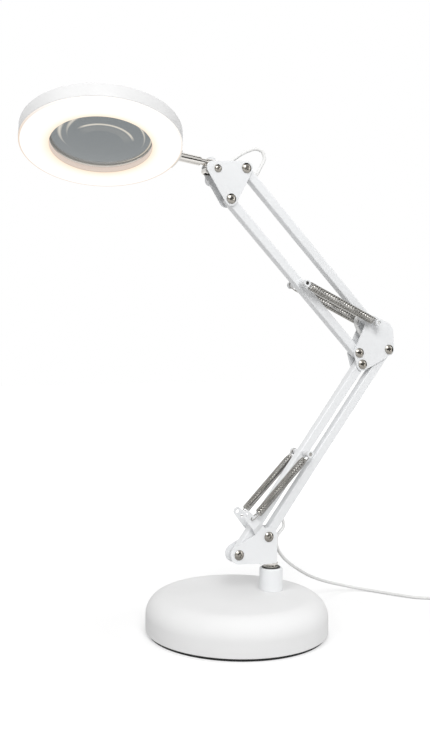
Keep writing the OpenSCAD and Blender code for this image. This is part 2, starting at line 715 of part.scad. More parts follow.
// Lower springs, bars and cable
module lower_spring_front() {
    spring(lug_spring(norm(lug_near - rod_k)), rod_k, lug_near, -1);
}
module lower_spring_rear() {
    spring(lug_spring(norm(lug_near - rod_k)), rod_k, lug_near, 1);
}
module lower_bar() {
    color("white") square_bar(piv_a, lower_len, lower_angle, sleeve_r + fit, sleeve_r + open_fit)
        across([lower_rod_at, 0], rod_r + fit, -bar_w, bar_w);
}
module lower_rod() { color("silver") cross_rod(rod_k); }
module lower_rod_caps() { color("white") rod_dressing(rod_k, bar_w / 2 + washer_play); }
module lower_link() {
    color("white") square_bar(piv_b, lower_len, lower_angle, sleeve_r + fit, sleeve_r + fit) {
        face_hole(tail_hole_at, -1);
        face_hole(lower_len - elbow_hole_at, 1);
    }
}
module lower_cable() {
    color("white") tube(bar_cable(piv_b, lower_len, lower_angle, tail_hole_at, -1, elbow_hole_at, 1), cord_r);
}
module cable_tail() { color("white") tube(smooth(tail_route, 2), cord_r); }

// Elbow plates and what they hold
module elbow_outline() {
    crown = piv_f + [14, -11];
    blob([concat(piv_d, elbow_round + 0.5), concat(piv_e, elbow_round), concat(crown, elbow_crown),
        concat(piv_f, elbow_rod_round), concat(piv_c, elbow_round)]);
}
module elbow_plate(y0, y1) {
    color("white") difference() {
        slab(y0, y1) elbow_outline();
        for (p = [piv_c, piv_d, piv_e]) across(p, bolt_r + fit, -20, 20);
        across(piv_f, rod_r + fit, -20, 20);
    }
}
module elbow_plate_front() { elbow_plate(-plate_out, -plate_in); }
module elbow_plate_rear() { elbow_plate(plate_in, plate_out); }
module elbow_fasteners() {
    color("silver") {
        for (p = [piv_c, piv_d, piv_e]) pivot_set(p);
        ring_across(piv_f, sleeve_r, rod_r + fit, -plate_in, plate_in);
        for (s = [-1, 1])
            let (y = s * (bar_w / 2 + washer_play + washer_t / 2))
                ring_across(piv_f, washer_r, sleeve_r + fit, y - washer_t / 2, y + washer_t / 2);
    }
}
module elbow_rod() { color("silver") cross_rod(piv_f); }
module elbow_rod_caps() { color("white") rod_dressing(piv_f, plate_out + washer_play); }
module elbow_cable() { color("white") tube(smooth(elbow_route, 2), cord_r); }
module upper_spring_front() {
    spring(two_rod_spring(norm(piv_f - rod_j)), rod_j, piv_f, -1);
}
module upper_spring_rear() {
    spring(two_rod_spring(norm(piv_f - rod_j)), rod_j, piv_f, 1);
}

// Upper bars and cable
module upper_bar() {
    color("white") square_bar(piv_c, upper_len, upper_angle, sleeve_r + fit, sleeve_r + open_fit)
        across([upper_rod_at, 0], rod_r + fit, -bar_w, bar_w);
}
module upper_rod() { color("silver") cross_rod(rod_j); }
module upper_rod_caps() { color("white") rod_dressing(rod_j, bar_w / 2 + washer_play); }
module upper_link() {
    color("white") square_bar(piv_f, upper_len, upper_angle, sleeve_r + fit, sleeve_r + fit) {
        face_hole(elbow_hole_at, 1);
        face_hole(upper_len - loop_hole_at, -1);
    }
}
module upper_cable() {
    color("white") tube(bar_cable(piv_f, upper_len, upper_angle, elbow_hole_at, 1, loop_hole_at, -1), cord_r);
}

// Head bracket
module head_plate(y0, y1) {
    color("white") difference() {
        slab(y0, y1) blob([concat(piv_h, head_plate_round), concat(piv_g, head_plate_round),
            concat(piv_i + [-5.5, 0.6], head_plate_round - 0.7)]);
        for (p = [piv_g, piv_h, piv_i]) across(p, bolt_r + fit, -20, 20);
    }
}
module head_plate_front() { head_plate(-plate_out, -plate_in); }
module head_plate_rear() { head_plate(plate_in, plate_out); }
module head_plate_fasteners() {
    color("silver") for (p = [piv_g, piv_h]) pivot_set(p);
}
module tilt_screw() {
    color("silver") translate([piv_i[0], -plate_out, piv_i[1]]) rotate([90, 0, 0]) {
        dome_head(bolt_head_r - 1.2, bolt_head_h - 0.4);
        translate([0, 0, -2 * plate_out - knob_t - 0.2 + 1])
            cylinder(r = bolt_r, h = 2 * plate_out + knob_t + 0.2 - 1 + eps);
    }
}
module tilt_knob() {
    color("white") difference() {
        union() {
            slab(knob_start + 1, knob_start + knob_t)
                blob([for (a = [272, 92]) concat(piv_i + knob_reach * deg_dir(a), knob_tip_r)]);
            across(piv_i, knob_hub_r, knob_start, knob_start + knob_t + 1.5);
        }
        across(piv_i, bolt_r + fit, knob_start - 1, knob_start + knob_t);
    }
}
module cable_loop() { color("white") tube(smooth(loop_route, 3), cord_r); }

// Frame of the tilting joint: x runs back along the rod, towards the bracket
module at_tilt() {
    translate([piv_i[0], 0, piv_i[1]]) rotate([0, rod_slope, 0]) children();
}

// Frame of the lamp head: the lens's centre is the origin and the rod runs along x
module at_head() {
    at_tilt() translate([-head_reach, 0, rod_rise]) rotate([-head_twist, 0, 0]) children();
}

// Clevis, rod and lamp head. The clevis is folded to a U whose cheeks carry the bolt, under its barrel.
module tilt_clevis() {
    width = plate_in - seat_gap;
    cheek = 1.6;
    front = [-9.4, -3.4, 3.5];
    color("silver") at_tilt() difference() {
        union() {
            slab(-width, width) blob([front, [0, 0, eye_r]]);
            translate([-barrel_front, 0, rod_rise]) rotate([0, 90, 0])
                cylinder(r = barrel_r, h = barrel_front + barrel_back);
            translate([-eye_r + 0.8, -barrel_r + 0.4, 0])
                cube([2 * eye_r - 1.6, 2 * barrel_r - 0.8, rod_rise]);
        }
        translate([front[0] - front[2] + cheek, -width + cheek, -12.3]) cube([30, 2 * (width - cheek), 12.6]);
        across([0, 0], bolt_r + fit, -20, 20);
        translate([-barrel_front - 1, 0, rod_rise]) rotate([0, 90, 0])
            cylinder(r = rod_thin_r + fit, h = barrel_front + 10);
    }
}
module head_rod() {
    color("silver") at_head() {
        rotate([0, 90, 0]) difference() {
            union() {
                translate([0, 0, rod_inner]) cylinder(r = rod_neck_r, h = rod_step - rod_inner);
                translate([0, 0, head_r + flange_t / 2])
                    cylinder(r = rod_thick_r, h = rod_step - head_r - flange_t / 2);
                translate([0, 0, rod_step - 1]) cylinder(r = rod_mid_r, h = rod_stop - rod_step + 1);
                translate([0, 0, rod_inner]) cylinder(r = rod_thin_r, h = rod_far - rod_inner);
                translate([0, 0, head_reach + barrel_back + fit]) cylinder(r = rod_thin_r + 1.3, h = 1.4);
            }
            translate([0, 0, rod_inner - 1]) cylinder(r = rod_bore_r, h = rod_far);
        }
        difference() {
            intersection() {
                cylinder(r = head_r + flange_t, h = flange_h, center = true);
                translate([60, -flange_w / 2, -flange_h / 2]) cube([60, flange_w, flange_h]);
            }
            cylinder(r = head_r, h = head_t, center = true);
            rotate([0, 90, 0]) cylinder(r = rod_neck_r - 0.5, h = 120);
            for (s = [-1, 1]) rotate([0, 0, s * flange_screw_angle]) rotate([0, 90, 0])
                cylinder(r = flange_screw_r, h = 120);
        }
    }
}
module head_fasteners() {
    color("silver") at_head() {
        for (s = [-1, 1]) rotate([0, 0, s * flange_screw_angle]) translate([head_r + flange_t, 0, 0])
            rotate([0, 90, 0]) {
                dome_head(2.3, 1.6);
                translate([0, 0, -5]) cylinder(r = flange_screw_r - fit, h = 5 + eps);
            }
        translate([rod_inner + 0.4, 0, 0]) rotate([0, 90, 0]) difference() {
            rotate(30) cylinder(r = 5, h = 2.6, $fn = 6);
            translate([0, 0, -1]) cylinder(r = rod_neck_r + fit, h = 8);
        }
    }
}
module head_housing() {
    color("white") at_head() difference() {
        translate([0, 0, face_z + diffuser_t + 0.1]) cylinder(r = head_r, h = head_t - diffuser_t - 0.1);
        translate([0, 0, face_z - 1]) difference() {
            cylinder(r = head_r - head_wall, h = head_t - head_wall + 1);
            cylinder(r = seat_r + head_wall, h = head_t + 2);
        }
        translate([0, 0, face_z - 1]) cylinder(r = seat_r, h = head_t + 2);
        rotate([0, 90, 0]) cylinder(r = rod_neck_r + fit, h = 120);
        for (s = [-1, 1]) rotate([0, 0, s * flange_screw_angle]) translate([60, 0, 0]) rotate([0, 90, 0])
            cylinder(r = flange_screw_r, h = 60);
    }
}
module led_board() {
    inner = seat_r + head_wall + 1.5;
    outer = head_r - head_wall - 6;
    color("white") at_head() {
        translate([0, 0, board_z]) difference() {
            cylinder(r = outer, h = board_t);
            translate([0, 0, -1]) cylinder(r = inner, h = board_t + 2);
        }
        for (ring = [0.28, 0.72], k = [0 : chips - 1])
            rotate([0, 0, 360 * (k + ring) / chips])
                translate([inner + ring * (outer - inner) - 1.4, -1.75, board_z - 0.7])
                    cube([2.8, 3.5, 0.9]);
    }
}
module diffuser() {
    color("lightyellow") at_head() difference() {
        union() {
            translate([0, 0, face_z]) cylinder(r = head_r - 0.15, h = diffuser_t);
            translate([0, 0, face_z]) cylinder(r = seat_r - fit, h = head_t / 2 - lens_edge_t / 2 - 0.25);
            translate([0, 0, face_z]) difference() {
                cylinder(r = head_r - head_wall - fit, h = diffuser_t + 1.8);
                cylinder(r = head_r - head_wall - 1.6, h = head_t);
            }
        }
        translate([0, 0, face_z - 1]) cylinder(r = opening_r, h = head_t);
    }
}
module lens() {
    sag = lens_sag(seat_r - fit);
    color("lightblue") at_head() intersection() {
        cylinder(r = seat_r - fit, h = 60, center = true);
        translate([0, 0, lens_edge_t / 2 + sag - lens_curve]) sphere(lens_curve, $fn = 256);
        translate([0, 0, -lens_edge_t / 2 - sag + lens_curve]) sphere(lens_curve, $fn = 256);
    }
}
module lens_ring() {
    bore = opening_r - 1.5;
    low = lens_edge_t / 2 + lens_sag(seat_r - fit) - lens_sag(bore) + fit;
    color("white") at_head() translate([0, 0, low]) difference() {
        cylinder(r = seat_r - fit, h = lens_ring_t);
        translate([0, 0, -1]) cylinder(r = bore, h = lens_ring_t + 2);
    }
}

// Cord, controller and plug
module cord_lead() {
    echo(lead_length = path_len(smooth(exit_route, 3)));
    color("white") tube(smooth(exit_route, 2), cord_r);
}
module cord_mid() {
    echo(mid_length = path_len(smooth(mid_route, 3)));
    color("white") tube(smooth(mid_route, 2), cord_r);
}
module cord_end() {
    echo(end_length = path_len(smooth(end_route, 3)));
    color("white") tube(smooth(end_route, 2), cord_r);
}
module cord_coil() {
    path = coil_path();
    echo(coil_length = path_len(path), coil_gap = self_gap(path, cord_d, 12));
    color("white") tube(path, cord_r, 6);
}
module coil_tie() {
    near = coil_in_r - cord_r - 0.4;
    far = coil_out_r + cord_r + 0.4;
    high = coil_lift + coil_step + cord_d + 0.3;
    color("black") translate([coil_mid[0], coil_mid[1], 0]) rotate([0, 0, 60]) difference() {
        translate([near - 1, -2.5, 0]) cube([far - near + 2, 5, high + 1]);
        translate([near, -4, tie_t]) cube([far - near, 8, high - tie_t]);
    }
}
module cord_reliefs() {
    color("white") {
        for (s = [-1, 1])
            translate([ctrl_mid[0], ctrl_mid[1] + s * ctrl_len / 2, ctrl_h / 2]) rotate([-90 * s, 0, 0])
                cylinder(r1 = relief_root_r, r2 = relief_tip_r, h = relief_len);
        at_plug() rotate([0, 90, 0]) cylinder(r1 = relief_tip_r, r2 = relief_root_r, h = relief_len);
    }
}
// Rectangle l long and w wide with round corners, its length along y
module rounded_plan(l, w, r) {
    x = w / 2 - r;
    y = l / 2 - r;
    blob([[-x, -y, r], [x, -y, r], [x, y, r], [-x, y, r]]);
}
module at_controller() { translate([ctrl_mid[0], ctrl_mid[1], 0]) children(); }
module controller_bottom() {
    color("white") at_controller() difference() {
        linear_extrude(ctrl_h / 2) rounded_plan(ctrl_len, ctrl_w, 6);
        translate([0, 0, ctrl_wall]) linear_extrude(ctrl_h)
            rounded_plan(ctrl_len - 2 * ctrl_wall, ctrl_w - 2 * ctrl_wall, 4.6);
    }
}
module controller_top() {
    color("white") at_controller() difference() {
        translate([0, 0, ctrl_h / 2]) linear_extrude(ctrl_h / 2) rounded_plan(ctrl_len, ctrl_w, 6);
        translate([0, 0, ctrl_h / 2 - 1]) linear_extrude(ctrl_h / 2 + 1 - ctrl_wall)
            rounded_plan(ctrl_len - 2 * ctrl_wall, ctrl_w - 2 * ctrl_wall, 4.6);
        for (k = [-1 : 1]) translate([0, k * button_pitch, 0]) cylinder(r = button_r + 0.15, h = 2 * ctrl_h);
    }
}
module push_button(k) {
    color("gainsboro") at_controller() translate([0, k * button_pitch, 0]) {
        translate([0, 0, ctrl_h - ctrl_wall - button_flange - 0.1])
            cylinder(r = button_r + 1, h = button_flange);
        translate([0, 0, ctrl_h - ctrl_wall - 0.11])
            cylinder(r = button_r, h = ctrl_wall + button_out + 0.11);
        translate([0, 0, board_top + button_travel + 0.3])
            cylinder(r = 1.2, h = ctrl_h - ctrl_wall - board_top - 1.5);
    }
}
module controller_board() {
    color("green") at_controller() difference() {
        union() {
            translate([0, 0, ctrl_wall]) linear_extrude(1.2) rounded_plan(ctrl_len - 6, ctrl_w - 5, 3);
            for (k = [-1 : 1]) translate([-3, k * button_pitch - 3, board_top - eps]) cube([6, 6, 3.2]);
        }
        for (k = [-1 : 1]) translate([0, k * button_pitch, board_top]) cylinder(r = 1.2 + fit, h = ctrl_h);
    }
}
module power_button() { push_button(1); }
module brighter_button() { push_button(0); }
module dimmer_button() { push_button(-1); }
module at_plug() {
    translate([plug_at[0], plug_at[1], grip_h / 2]) rotate([0, 0, plug_angle]) children();
}
module usb_grip() {
    color("white") at_plug() translate([relief_len + grip_len / 2, 0, -grip_h / 2]) linear_extrude(grip_h)
        rotate(90) rounded_plan(grip_len, grip_w, 2.5);
}
module usb_shell() {
    color("silver") at_plug() translate([relief_len + grip_len, 0, 0]) difference() {
        translate([0, -6, -2.25]) cube([shell_len, 12, 4.5]);
        translate([1, -5.7, -1.95]) cube([shell_len, 11.4, 3.9]);
    }
    color("silver") at_plug() translate([relief_len + grip_len + 0.9, -4.8, 0.1])
        cube([shell_len - 1.4, 9.6, 1.7]);
}

base_cover();
base_weight();
base_plate();
base_fasteners();
foot_pad();
post();
post_bush();
lower_bracket();
swivel_pin();
swivel_ring();
lower_fasteners();
lower_spring_front();
lower_spring_rear();
lower_bar();
lower_rod();
lower_rod_caps();
lower_link();
lower_cable();
cable_tail();
elbow_plate_front();
elbow_plate_rear();
elbow_fasteners();
elbow_rod();
elbow_rod_caps();
elbow_cable();
upper_spring_front();
upper_spring_rear();
upper_bar();
upper_rod();
upper_rod_caps();
upper_link();
upper_cable();
head_plate_front();
head_plate_rear();
head_plate_fasteners();
tilt_screw();
tilt_knob();
cable_loop();
tilt_clevis();
head_rod();
head_fasteners();
head_housing();
led_board();
diffuser();
lens();
lens_ring();
cord_lead();
cord_mid();
cord_coil();
cord_end();
coil_tie();
cord_reliefs();
controller_bottom();
controller_board();
controller_top();
power_button();
brighter_button();
dimmer_button();
usb_grip();
usb_shell();
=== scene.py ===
"""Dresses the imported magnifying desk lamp: finishes, springs, cables, ring light, lens, cord and studio."""

from __future__ import annotations

import json
import logging
import math
from dataclasses import dataclass
from enum import Enum
from typing import Any, Sequence

import bmesh
import bpy
from mathutils import Matrix, Quaternion, Vector

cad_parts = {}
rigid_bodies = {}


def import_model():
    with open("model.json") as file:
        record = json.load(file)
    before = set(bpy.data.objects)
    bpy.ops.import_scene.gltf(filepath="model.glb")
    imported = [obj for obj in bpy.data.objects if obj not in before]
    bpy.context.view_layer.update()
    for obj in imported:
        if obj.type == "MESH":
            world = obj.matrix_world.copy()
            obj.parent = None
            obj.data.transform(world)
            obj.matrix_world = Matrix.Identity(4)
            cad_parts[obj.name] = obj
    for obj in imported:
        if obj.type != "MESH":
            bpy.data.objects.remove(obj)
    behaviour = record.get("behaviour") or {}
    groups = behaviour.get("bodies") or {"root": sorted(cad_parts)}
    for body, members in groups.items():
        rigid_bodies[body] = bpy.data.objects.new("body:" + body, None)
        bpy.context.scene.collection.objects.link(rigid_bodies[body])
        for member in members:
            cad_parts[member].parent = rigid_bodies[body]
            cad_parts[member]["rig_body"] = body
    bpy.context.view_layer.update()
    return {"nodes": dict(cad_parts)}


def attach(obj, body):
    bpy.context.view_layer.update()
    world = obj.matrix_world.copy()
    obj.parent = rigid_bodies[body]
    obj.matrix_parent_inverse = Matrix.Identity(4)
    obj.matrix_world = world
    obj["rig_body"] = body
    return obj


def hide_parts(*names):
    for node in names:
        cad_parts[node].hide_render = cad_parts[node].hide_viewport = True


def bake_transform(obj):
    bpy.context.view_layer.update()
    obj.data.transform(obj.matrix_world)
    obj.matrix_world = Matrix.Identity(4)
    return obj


LOG = logging.getLogger("magnifying_lamp")
MM = 0.001
PHOTO_SIZE = (430, 752)
SENSOR = 36.0
ON_AXIS = 1e-6
MERGE_WITHIN = 2e-6
FLAT_WITHIN = 0.1
CRISP_FORM, CRISP_LATHE, CRISP_EDGE = 40.0, 32.0, 35.0
BLACK = (0.0, 0.0, 0.0)
Node, Piece, Socket = bpy.types.Node, bpy.types.Object, bpy.types.NodeSocket
Color = tuple[float, float, float]
Pair = tuple[float, float]
Triple = tuple[float, float, float]


# Nodes, shader maths and forms

class Signal:
    """A number that varies over a surface or a form, for use in plain expressions."""

    def __init__(self, bench: NodeBench, socket: Socket) -> None:
        """Wraps an output socket of a node on the bench."""
        self.bench, self.socket = bench, socket

    def _with(self, operation: str, first: Any, second: Any = 0.0) -> Signal:
        """Adds the Math node of one operation and returns its result."""
        return self.bench.value("ShaderNodeMath", {0: first, 1: second}, operation=operation)

    def __add__(self, other: Any) -> Signal:
        """Adds a number or a signal."""
        return self._with("ADD", self, other)

    def __sub__(self, other: Any) -> Signal:
        """Takes a number or a signal away."""
        return self._with("SUBTRACT", self, other)

    def __rsub__(self, other: Any) -> Signal:
        """Takes this signal away from a number."""
        return self._with("SUBTRACT", other, self)

    def __mul__(self, other: Any) -> Signal:
        """Multiplies by a number or a signal."""
        return self._with("MULTIPLY", self, other)

    def __truediv__(self, other: Any) -> Signal:
        """Divides by a number or a signal."""
        return self._with("DIVIDE", self, other)

    def __rtruediv__(self, other: Any) -> Signal:
        """Divides a number by this signal."""
        return self._with("DIVIDE", other, self)

    def __abs__(self) -> Signal:
        """Returns the size without its sign."""
        return self._with("ABSOLUTE", self)

    __radd__, __rmul__ = __add__, __mul__

    def eased(self, start: Any, stop: Any, low: Any = 0.0, high: Any = 1.0) -> Signal:
        """Runs smoothly between two values while this signal goes from start to stop.

        Args:
            start: Where the change starts.
            stop: Where it ends, above the start.
            low: The result up to the start.
            high: The result from the stop on.

        Returns:
            The eased signal.
        """
        return self.bench.value("ShaderNodeMapRange", {
            "Value": self, "From Min": start, "From Max": stop, "To Min": low, "To Max": high},
            interpolation_type="SMOOTHSTEP")

    def faded(self, start: Any, stop: Any) -> Signal:
        """Falls smoothly from 1 to 0 while this signal goes from start to stop."""
        return self.eased(start, stop, 1.0, 0.0)


class NodeBench:
    """Adds nodes to one tree, whether a material's, a world's or a form's."""

    def __init__(self, tree: bpy.types.NodeTree) -> None:
        """Keeps the tree that the nodes go into."""
        self.tree = tree

    @classmethod
    def fresh(cls, owner: bpy.types.Material | bpy.types.World) -> NodeBench:
        """Empties the tree of a material or a world and returns its bench."""
        owner.use_nodes = True
        owner.node_tree.nodes.clear()
        return cls(owner.node_tree)

    def add(self, kind: str, sockets: dict[Any, Any] | None = None, **settings: Any) -> Node:
        """Makes one node.

        Args:
            kind: The node's type.
            sockets: Values, signals, sockets or lists of sockets by the input's name or number.
            **settings: Its own settings, which are set first; "stops" are a ramp's places and colours.

        Returns:
            The new node.
        """
        node = self.tree.nodes.new(kind)
        for k, (place, color) in enumerate(settings.pop("stops", ())):
            stops = node.color_ramp.elements
            stop = stops[k] if k < len(stops) else stops.new(1.0)
            stop.position, stop.color = place, (*color, 1.0)
        for name, value in settings.items():
            setattr(node, name, value)
        for name, value in (sockets or {}).items():
            for one in value if isinstance(value, list) else [value]:
                one = one.socket if isinstance(one, Signal) else one
                if isinstance(one, Socket):
                    self.tree.links.new(one, node.inputs[name])
                else:
                    node.inputs[name].default_value = one
        return node

    def value(self, kind: str, sockets: dict[Any, Any] | None = None, output: int | str = 0,
              **settings: Any) -> Signal:
        """Makes one node and returns one of its outputs as a signal."""
        return Signal(self, self.add(kind, sockets, **settings).outputs[output])

    def spot(self) -> Socket:
        """Returns a point's Object coordinates."""
        return self.add("ShaderNodeTexCoord").outputs["Object"]

    def split(self, vector: Socket) -> list[Signal]:
        """Returns a vector's X, Y and Z."""
        return [Signal(self, part) for part in self.add("ShaderNodeSeparateXYZ", {0: vector}).outputs]

    def joined(self, x: Any = 0.0, y: Any = 0.0, z: Any = 0.0) -> Socket:
        """Returns a vector of numbers or signals."""
        return self.add("ShaderNodeCombineXYZ", {0: x, 1: y, 2: z}).outputs[0]

    def length(self, vector: Socket) -> Signal:
        """Returns a vector's length."""
        return self.value("ShaderNodeVectorMath", {0: vector}, "Value", operation="LENGTH")

    def mixed(self, share: Signal, first: Any, second: Any) -> Socket:
        """Mixes two colours, or sockets of colours, by a share of the second."""
        first, second = ((*c, 1.0) if isinstance(c, tuple) else c for c in (first, second))
        return self.add("ShaderNodeMix", {0: share, 6: first, 7: second}, data_type="RGBA").outputs[2]


class FormTree(NodeBench):
    """A Geometry Nodes tree with named inputs, run once for each piece that it makes."""

    def __init__(self, name: str, **sizes: float | int) -> None:
        """Makes the tree's inputs: an outline mesh, the sizes and the finish.

        Args:
            name: The tree's name.
            **sizes: The named sizes, in metres, with their usual values.
        """
        super().__init__(bpy.data.node_groups.new(name, "GeometryNodeTree"))
        face = self.tree.interface
        face.new_socket(name="Outline", in_out="INPUT", socket_type="NodeSocketGeometry")
        for label, value in sizes.items():
            kind = "NodeSocketInt" if isinstance(value, int) else "NodeSocketFloat"
            face.new_socket(name=label, in_out="INPUT", socket_type=kind).default_value = value
        face.new_socket(name="Finish", in_out="INPUT", socket_type="NodeSocketMaterial")
        face.new_socket(name="Form", in_out="OUTPUT", socket_type="NodeSocketGeometry")
        self.inlet = self.add("NodeGroupInput")
        self.outlet = self.add("NodeGroupOutput")

    def given(self, label: str) -> Socket:
        """Returns the socket of a named input."""
        return self.inlet.outputs[label]

    def numbers(self, *labels: str) -> list[Signal]:
        """Returns named sizes, ready for expressions."""
        return [Signal(self, self.given(label)) for label in labels]

    def line(self) -> Socket:
        """Returns the outline as a curve."""
        return self.add("GeometryNodeMeshToCurve", {"Mesh": self.given("Outline")}).outputs["Curve"]

    def swept(self, curve: Socket, radius: Any, sides: int) -> Socket:
        """Sweeps a round section along a curve.

        Args:
            curve: The curve's socket.
            radius: The section's radius.
            sides: How many sides the section has.

        Returns:
            The tube's geometry socket.
        """
        section = self.add("GeometryNodeCurvePrimitiveCircle", {"Resolution": sides, "Radius": radius},
                           mode="RADIUS")
        tube = self.add("GeometryNodeCurveToMesh", {
            "Curve": curve, "Profile Curve": section.outputs["Curve"], "Fill Caps": True})
        return tube.outputs["Mesh"]

    def close(self, geometry: Socket) -> FormTree:
        """Ends the tree in real faces with the finish on them.

        Args:
            geometry: The socket of what the tree has made so far.

        Returns:
            The tree itself.
        """
        real = self.add("GeometryNodeRealizeInstances", {"Geometry": geometry})
        done = self.add("GeometryNodeSetMaterial", {
            "Geometry": real.outputs["Geometry"], "Material": self.given("Finish")})
        self.tree.links.new(done.outputs["Geometry"], self.outlet.inputs["Form"])
        return self

    def grow(self, name: str, outline: bpy.types.Mesh, place: Matrix, finish: Finish,
             **sizes: float | int) -> Piece:
        """Runs the tree and keeps its result as a plain mesh.

        Args:
            name: The new piece's name.
            outline: The mesh that the tree starts from.
            place: Where the finished mesh goes, from its own axes to the lamp's.
            finish: The piece's finish.
            **sizes: Values of the tree's named inputs.

        Returns:
            The piece, with its object at the origin.
        """
        piece = link_piece(name, outline)
        change = piece.modifiers.new("form", "NODES")
        change.node_group = self.tree
        values = {**sizes, "Finish": finish.material()}
        for item in self.tree.interface.items_tree:
            if item.in_out == "INPUT" and item.name in values:
                change[item.identifier] = values[item.name]
        graph = bpy.context.evaluated_depsgraph_get()
        mesh = bpy.data.meshes.new_from_object(piece.evaluated_get(graph), depsgraph=graph)
        piece.modifiers.clear()
        piece.data = mesh
        bpy.data.meshes.remove(outline)
        mesh.transform(place)
        soften(mesh, CRISP_FORM)
        return piece


# Meshes and places

def shift(*place: float) -> Matrix:
    """Returns a move by millimetres."""
    return Matrix.Translation(Vector(place) * MM)


def turned(degrees: float, axis: str) -> Matrix:
    """Returns a turn about an axis."""
    return Matrix.Rotation(math.radians(degrees), 4, axis)


def link_piece(name: str, data: bpy.types.ID) -> Piece:
    """Puts a mesh, a light or a camera in the scene as an object at the origin, and returns it."""
    piece = bpy.data.objects.new(name, data)
    bpy.context.scene.collection.objects.link(piece)
    return piece


def soften(mesh: bpy.types.Mesh, angle: float) -> None:
    """Shades a mesh smooth, with edges sharper than the angle in degrees kept crisp."""
    mesh.shade_smooth()
    mesh.set_sharp_from_angle(angle=math.radians(angle))


def polyline(name: str, *lines: Sequence[Sequence[float]]) -> bpy.types.Mesh:
    """Makes a mesh of open lines.

    Args:
        name: The mesh's name.
        *lines: The points of each line, in millimetres.

    Returns:
        The mesh.
    """
    mesh = bpy.data.meshes.new(name)
    points: list[Vector] = []
    edges: list[tuple[int, int]] = []
    for line in lines:
        first = len(points)
        points += [Vector(p) * MM for p in line]
        edges += [(k, k + 1) for k in range(first, len(points) - 1)]
    mesh.from_pydata(points, edges, [])
    return mesh


def rounded_outline(corners: Sequence[Triple], ring: bool, steps: int) -> list[Pair]:
    """Rounds the corners of an outline.

    Args:
        corners: Corners as (radius from the axis, height, corner radius), in millimetres.
        ring: True if the outline closes on itself.
        steps: Steps in each rounded corner.

    Returns:
        The outline's points.
    """
    points: list[Pair] = []
    count = len(corners)
    for i, (x, y, radius) in enumerate(corners):
        if radius == 0 or (not ring and i in (0, count - 1)):
            points.append((x, y))
            continue
        here = Vector((x, y))
        back = (Vector(corners[i - 1][:2]) - here).normalized()
        ahead = (Vector(corners[(i + 1) % count][:2]) - here).normalized()
        half = back.angle(ahead) / 2
        centre = here + (back + ahead).normalized() * radius / math.sin(half)
        start = here + back * radius / math.tan(half) - centre
        end = here + ahead * radius / math.tan(half) - centre
        sweep = math.atan2(start.x * end.y - start.y * end.x, start.dot(end))
        for k in range(steps + 1):
            cos, sin = math.cos(sweep * k / steps), math.sin(sweep * k / steps)
            points.append((centre.x + start.x * cos - start.y * sin,
                           centre.y + start.x * sin + start.y * cos))
    return points


def lathe(name: str, corners: Sequence[Triple], place: Matrix, ring: bool = False, bends: int = 1,
          steps: int = 160) -> Piece:
    """Turns an outline about the Z axis into a closed body.

    Args:
        name: The new piece's name.
        corners: Its corners, as rounded_outline takes them; an open outline starts and ends on the axis.
        place: Where the body goes, from its own axes to the lamp's.
        ring: True if the outline closes on itself.
        bends: Steps in each rounded corner.
        steps: Steps round the axis.

    Returns:
        The piece.
    """
    shape = bmesh.new()
    turns = [2 * math.pi * k / steps for k in range(steps)]
    columns = [[shape.verts.new((radius * MM * math.cos(turn), radius * MM * math.sin(turn), height * MM))
                for turn in (turns if radius > ON_AXIS else (0.0,))]
               for radius, height in rounded_outline(corners, ring, bends)]
    pairs = list(zip(columns, columns[1:])) + ([(columns[-1], columns[0])] if ring else [])
    for low, high in pairs:
        for k in range(steps):
            n = (k + 1) % steps
            around = [low[k % len(low)], low[n % len(low)], high[n % len(high)], high[k % len(high)]]
            face = list(dict.fromkeys(around))
            if len(face) > 2:
                shape.faces.new(face)
    bmesh.ops.recalc_face_normals(shape, faces=shape.faces)
    mesh = bpy.data.meshes.new(name)
    shape.to_mesh(mesh)
    shape.free()
    mesh.transform(place)
    soften(mesh, CRISP_LATHE)
    return link_piece(name, mesh)


def smooth_path(points: Sequence[Triple], steps: int) -> list[Vector]:
    """Runs one smooth line through given points.

    Args:
        points: The points, which the line goes through.
        steps: Steps between each two.

    Returns:
        The line's points.
    """
    given = [Vector(p) for p in points]
    last = len(given) - 1
    path: list[Vector] = []
    for i in range(last):
        a, b, c, d = given[max(i - 1, 0)], given[i], given[i + 1], given[min(i + 2, last)]
        for k in range(steps):
            t = k / steps
            path.append(0.5 * (2 * b + (c - a) * t + (2 * a - 5 * b + 4 * c - d) * t * t
                               + (3 * b - a - 3 * c + d) * t ** 3))
    return path + [given[last]]


# Finishes

class Grain(Enum):
    """The fine relief of a surface, as (size in mm, depth in mm, stretch along Z)."""

    POWDER = (0.9, 0.03, 1.0)
    MOULDED = (0.5, 0.012, 1.0)
    GLOSS = (4.0, 0.002, 1.0)
    PLATED = (1.5, 0.006, 1.0)
    CAST = (1.8, 0.25, 1.0)
    SOFT = (0.8, 0.02, 1.0)
    SHEET = (0.6, 0.02, 0.1)


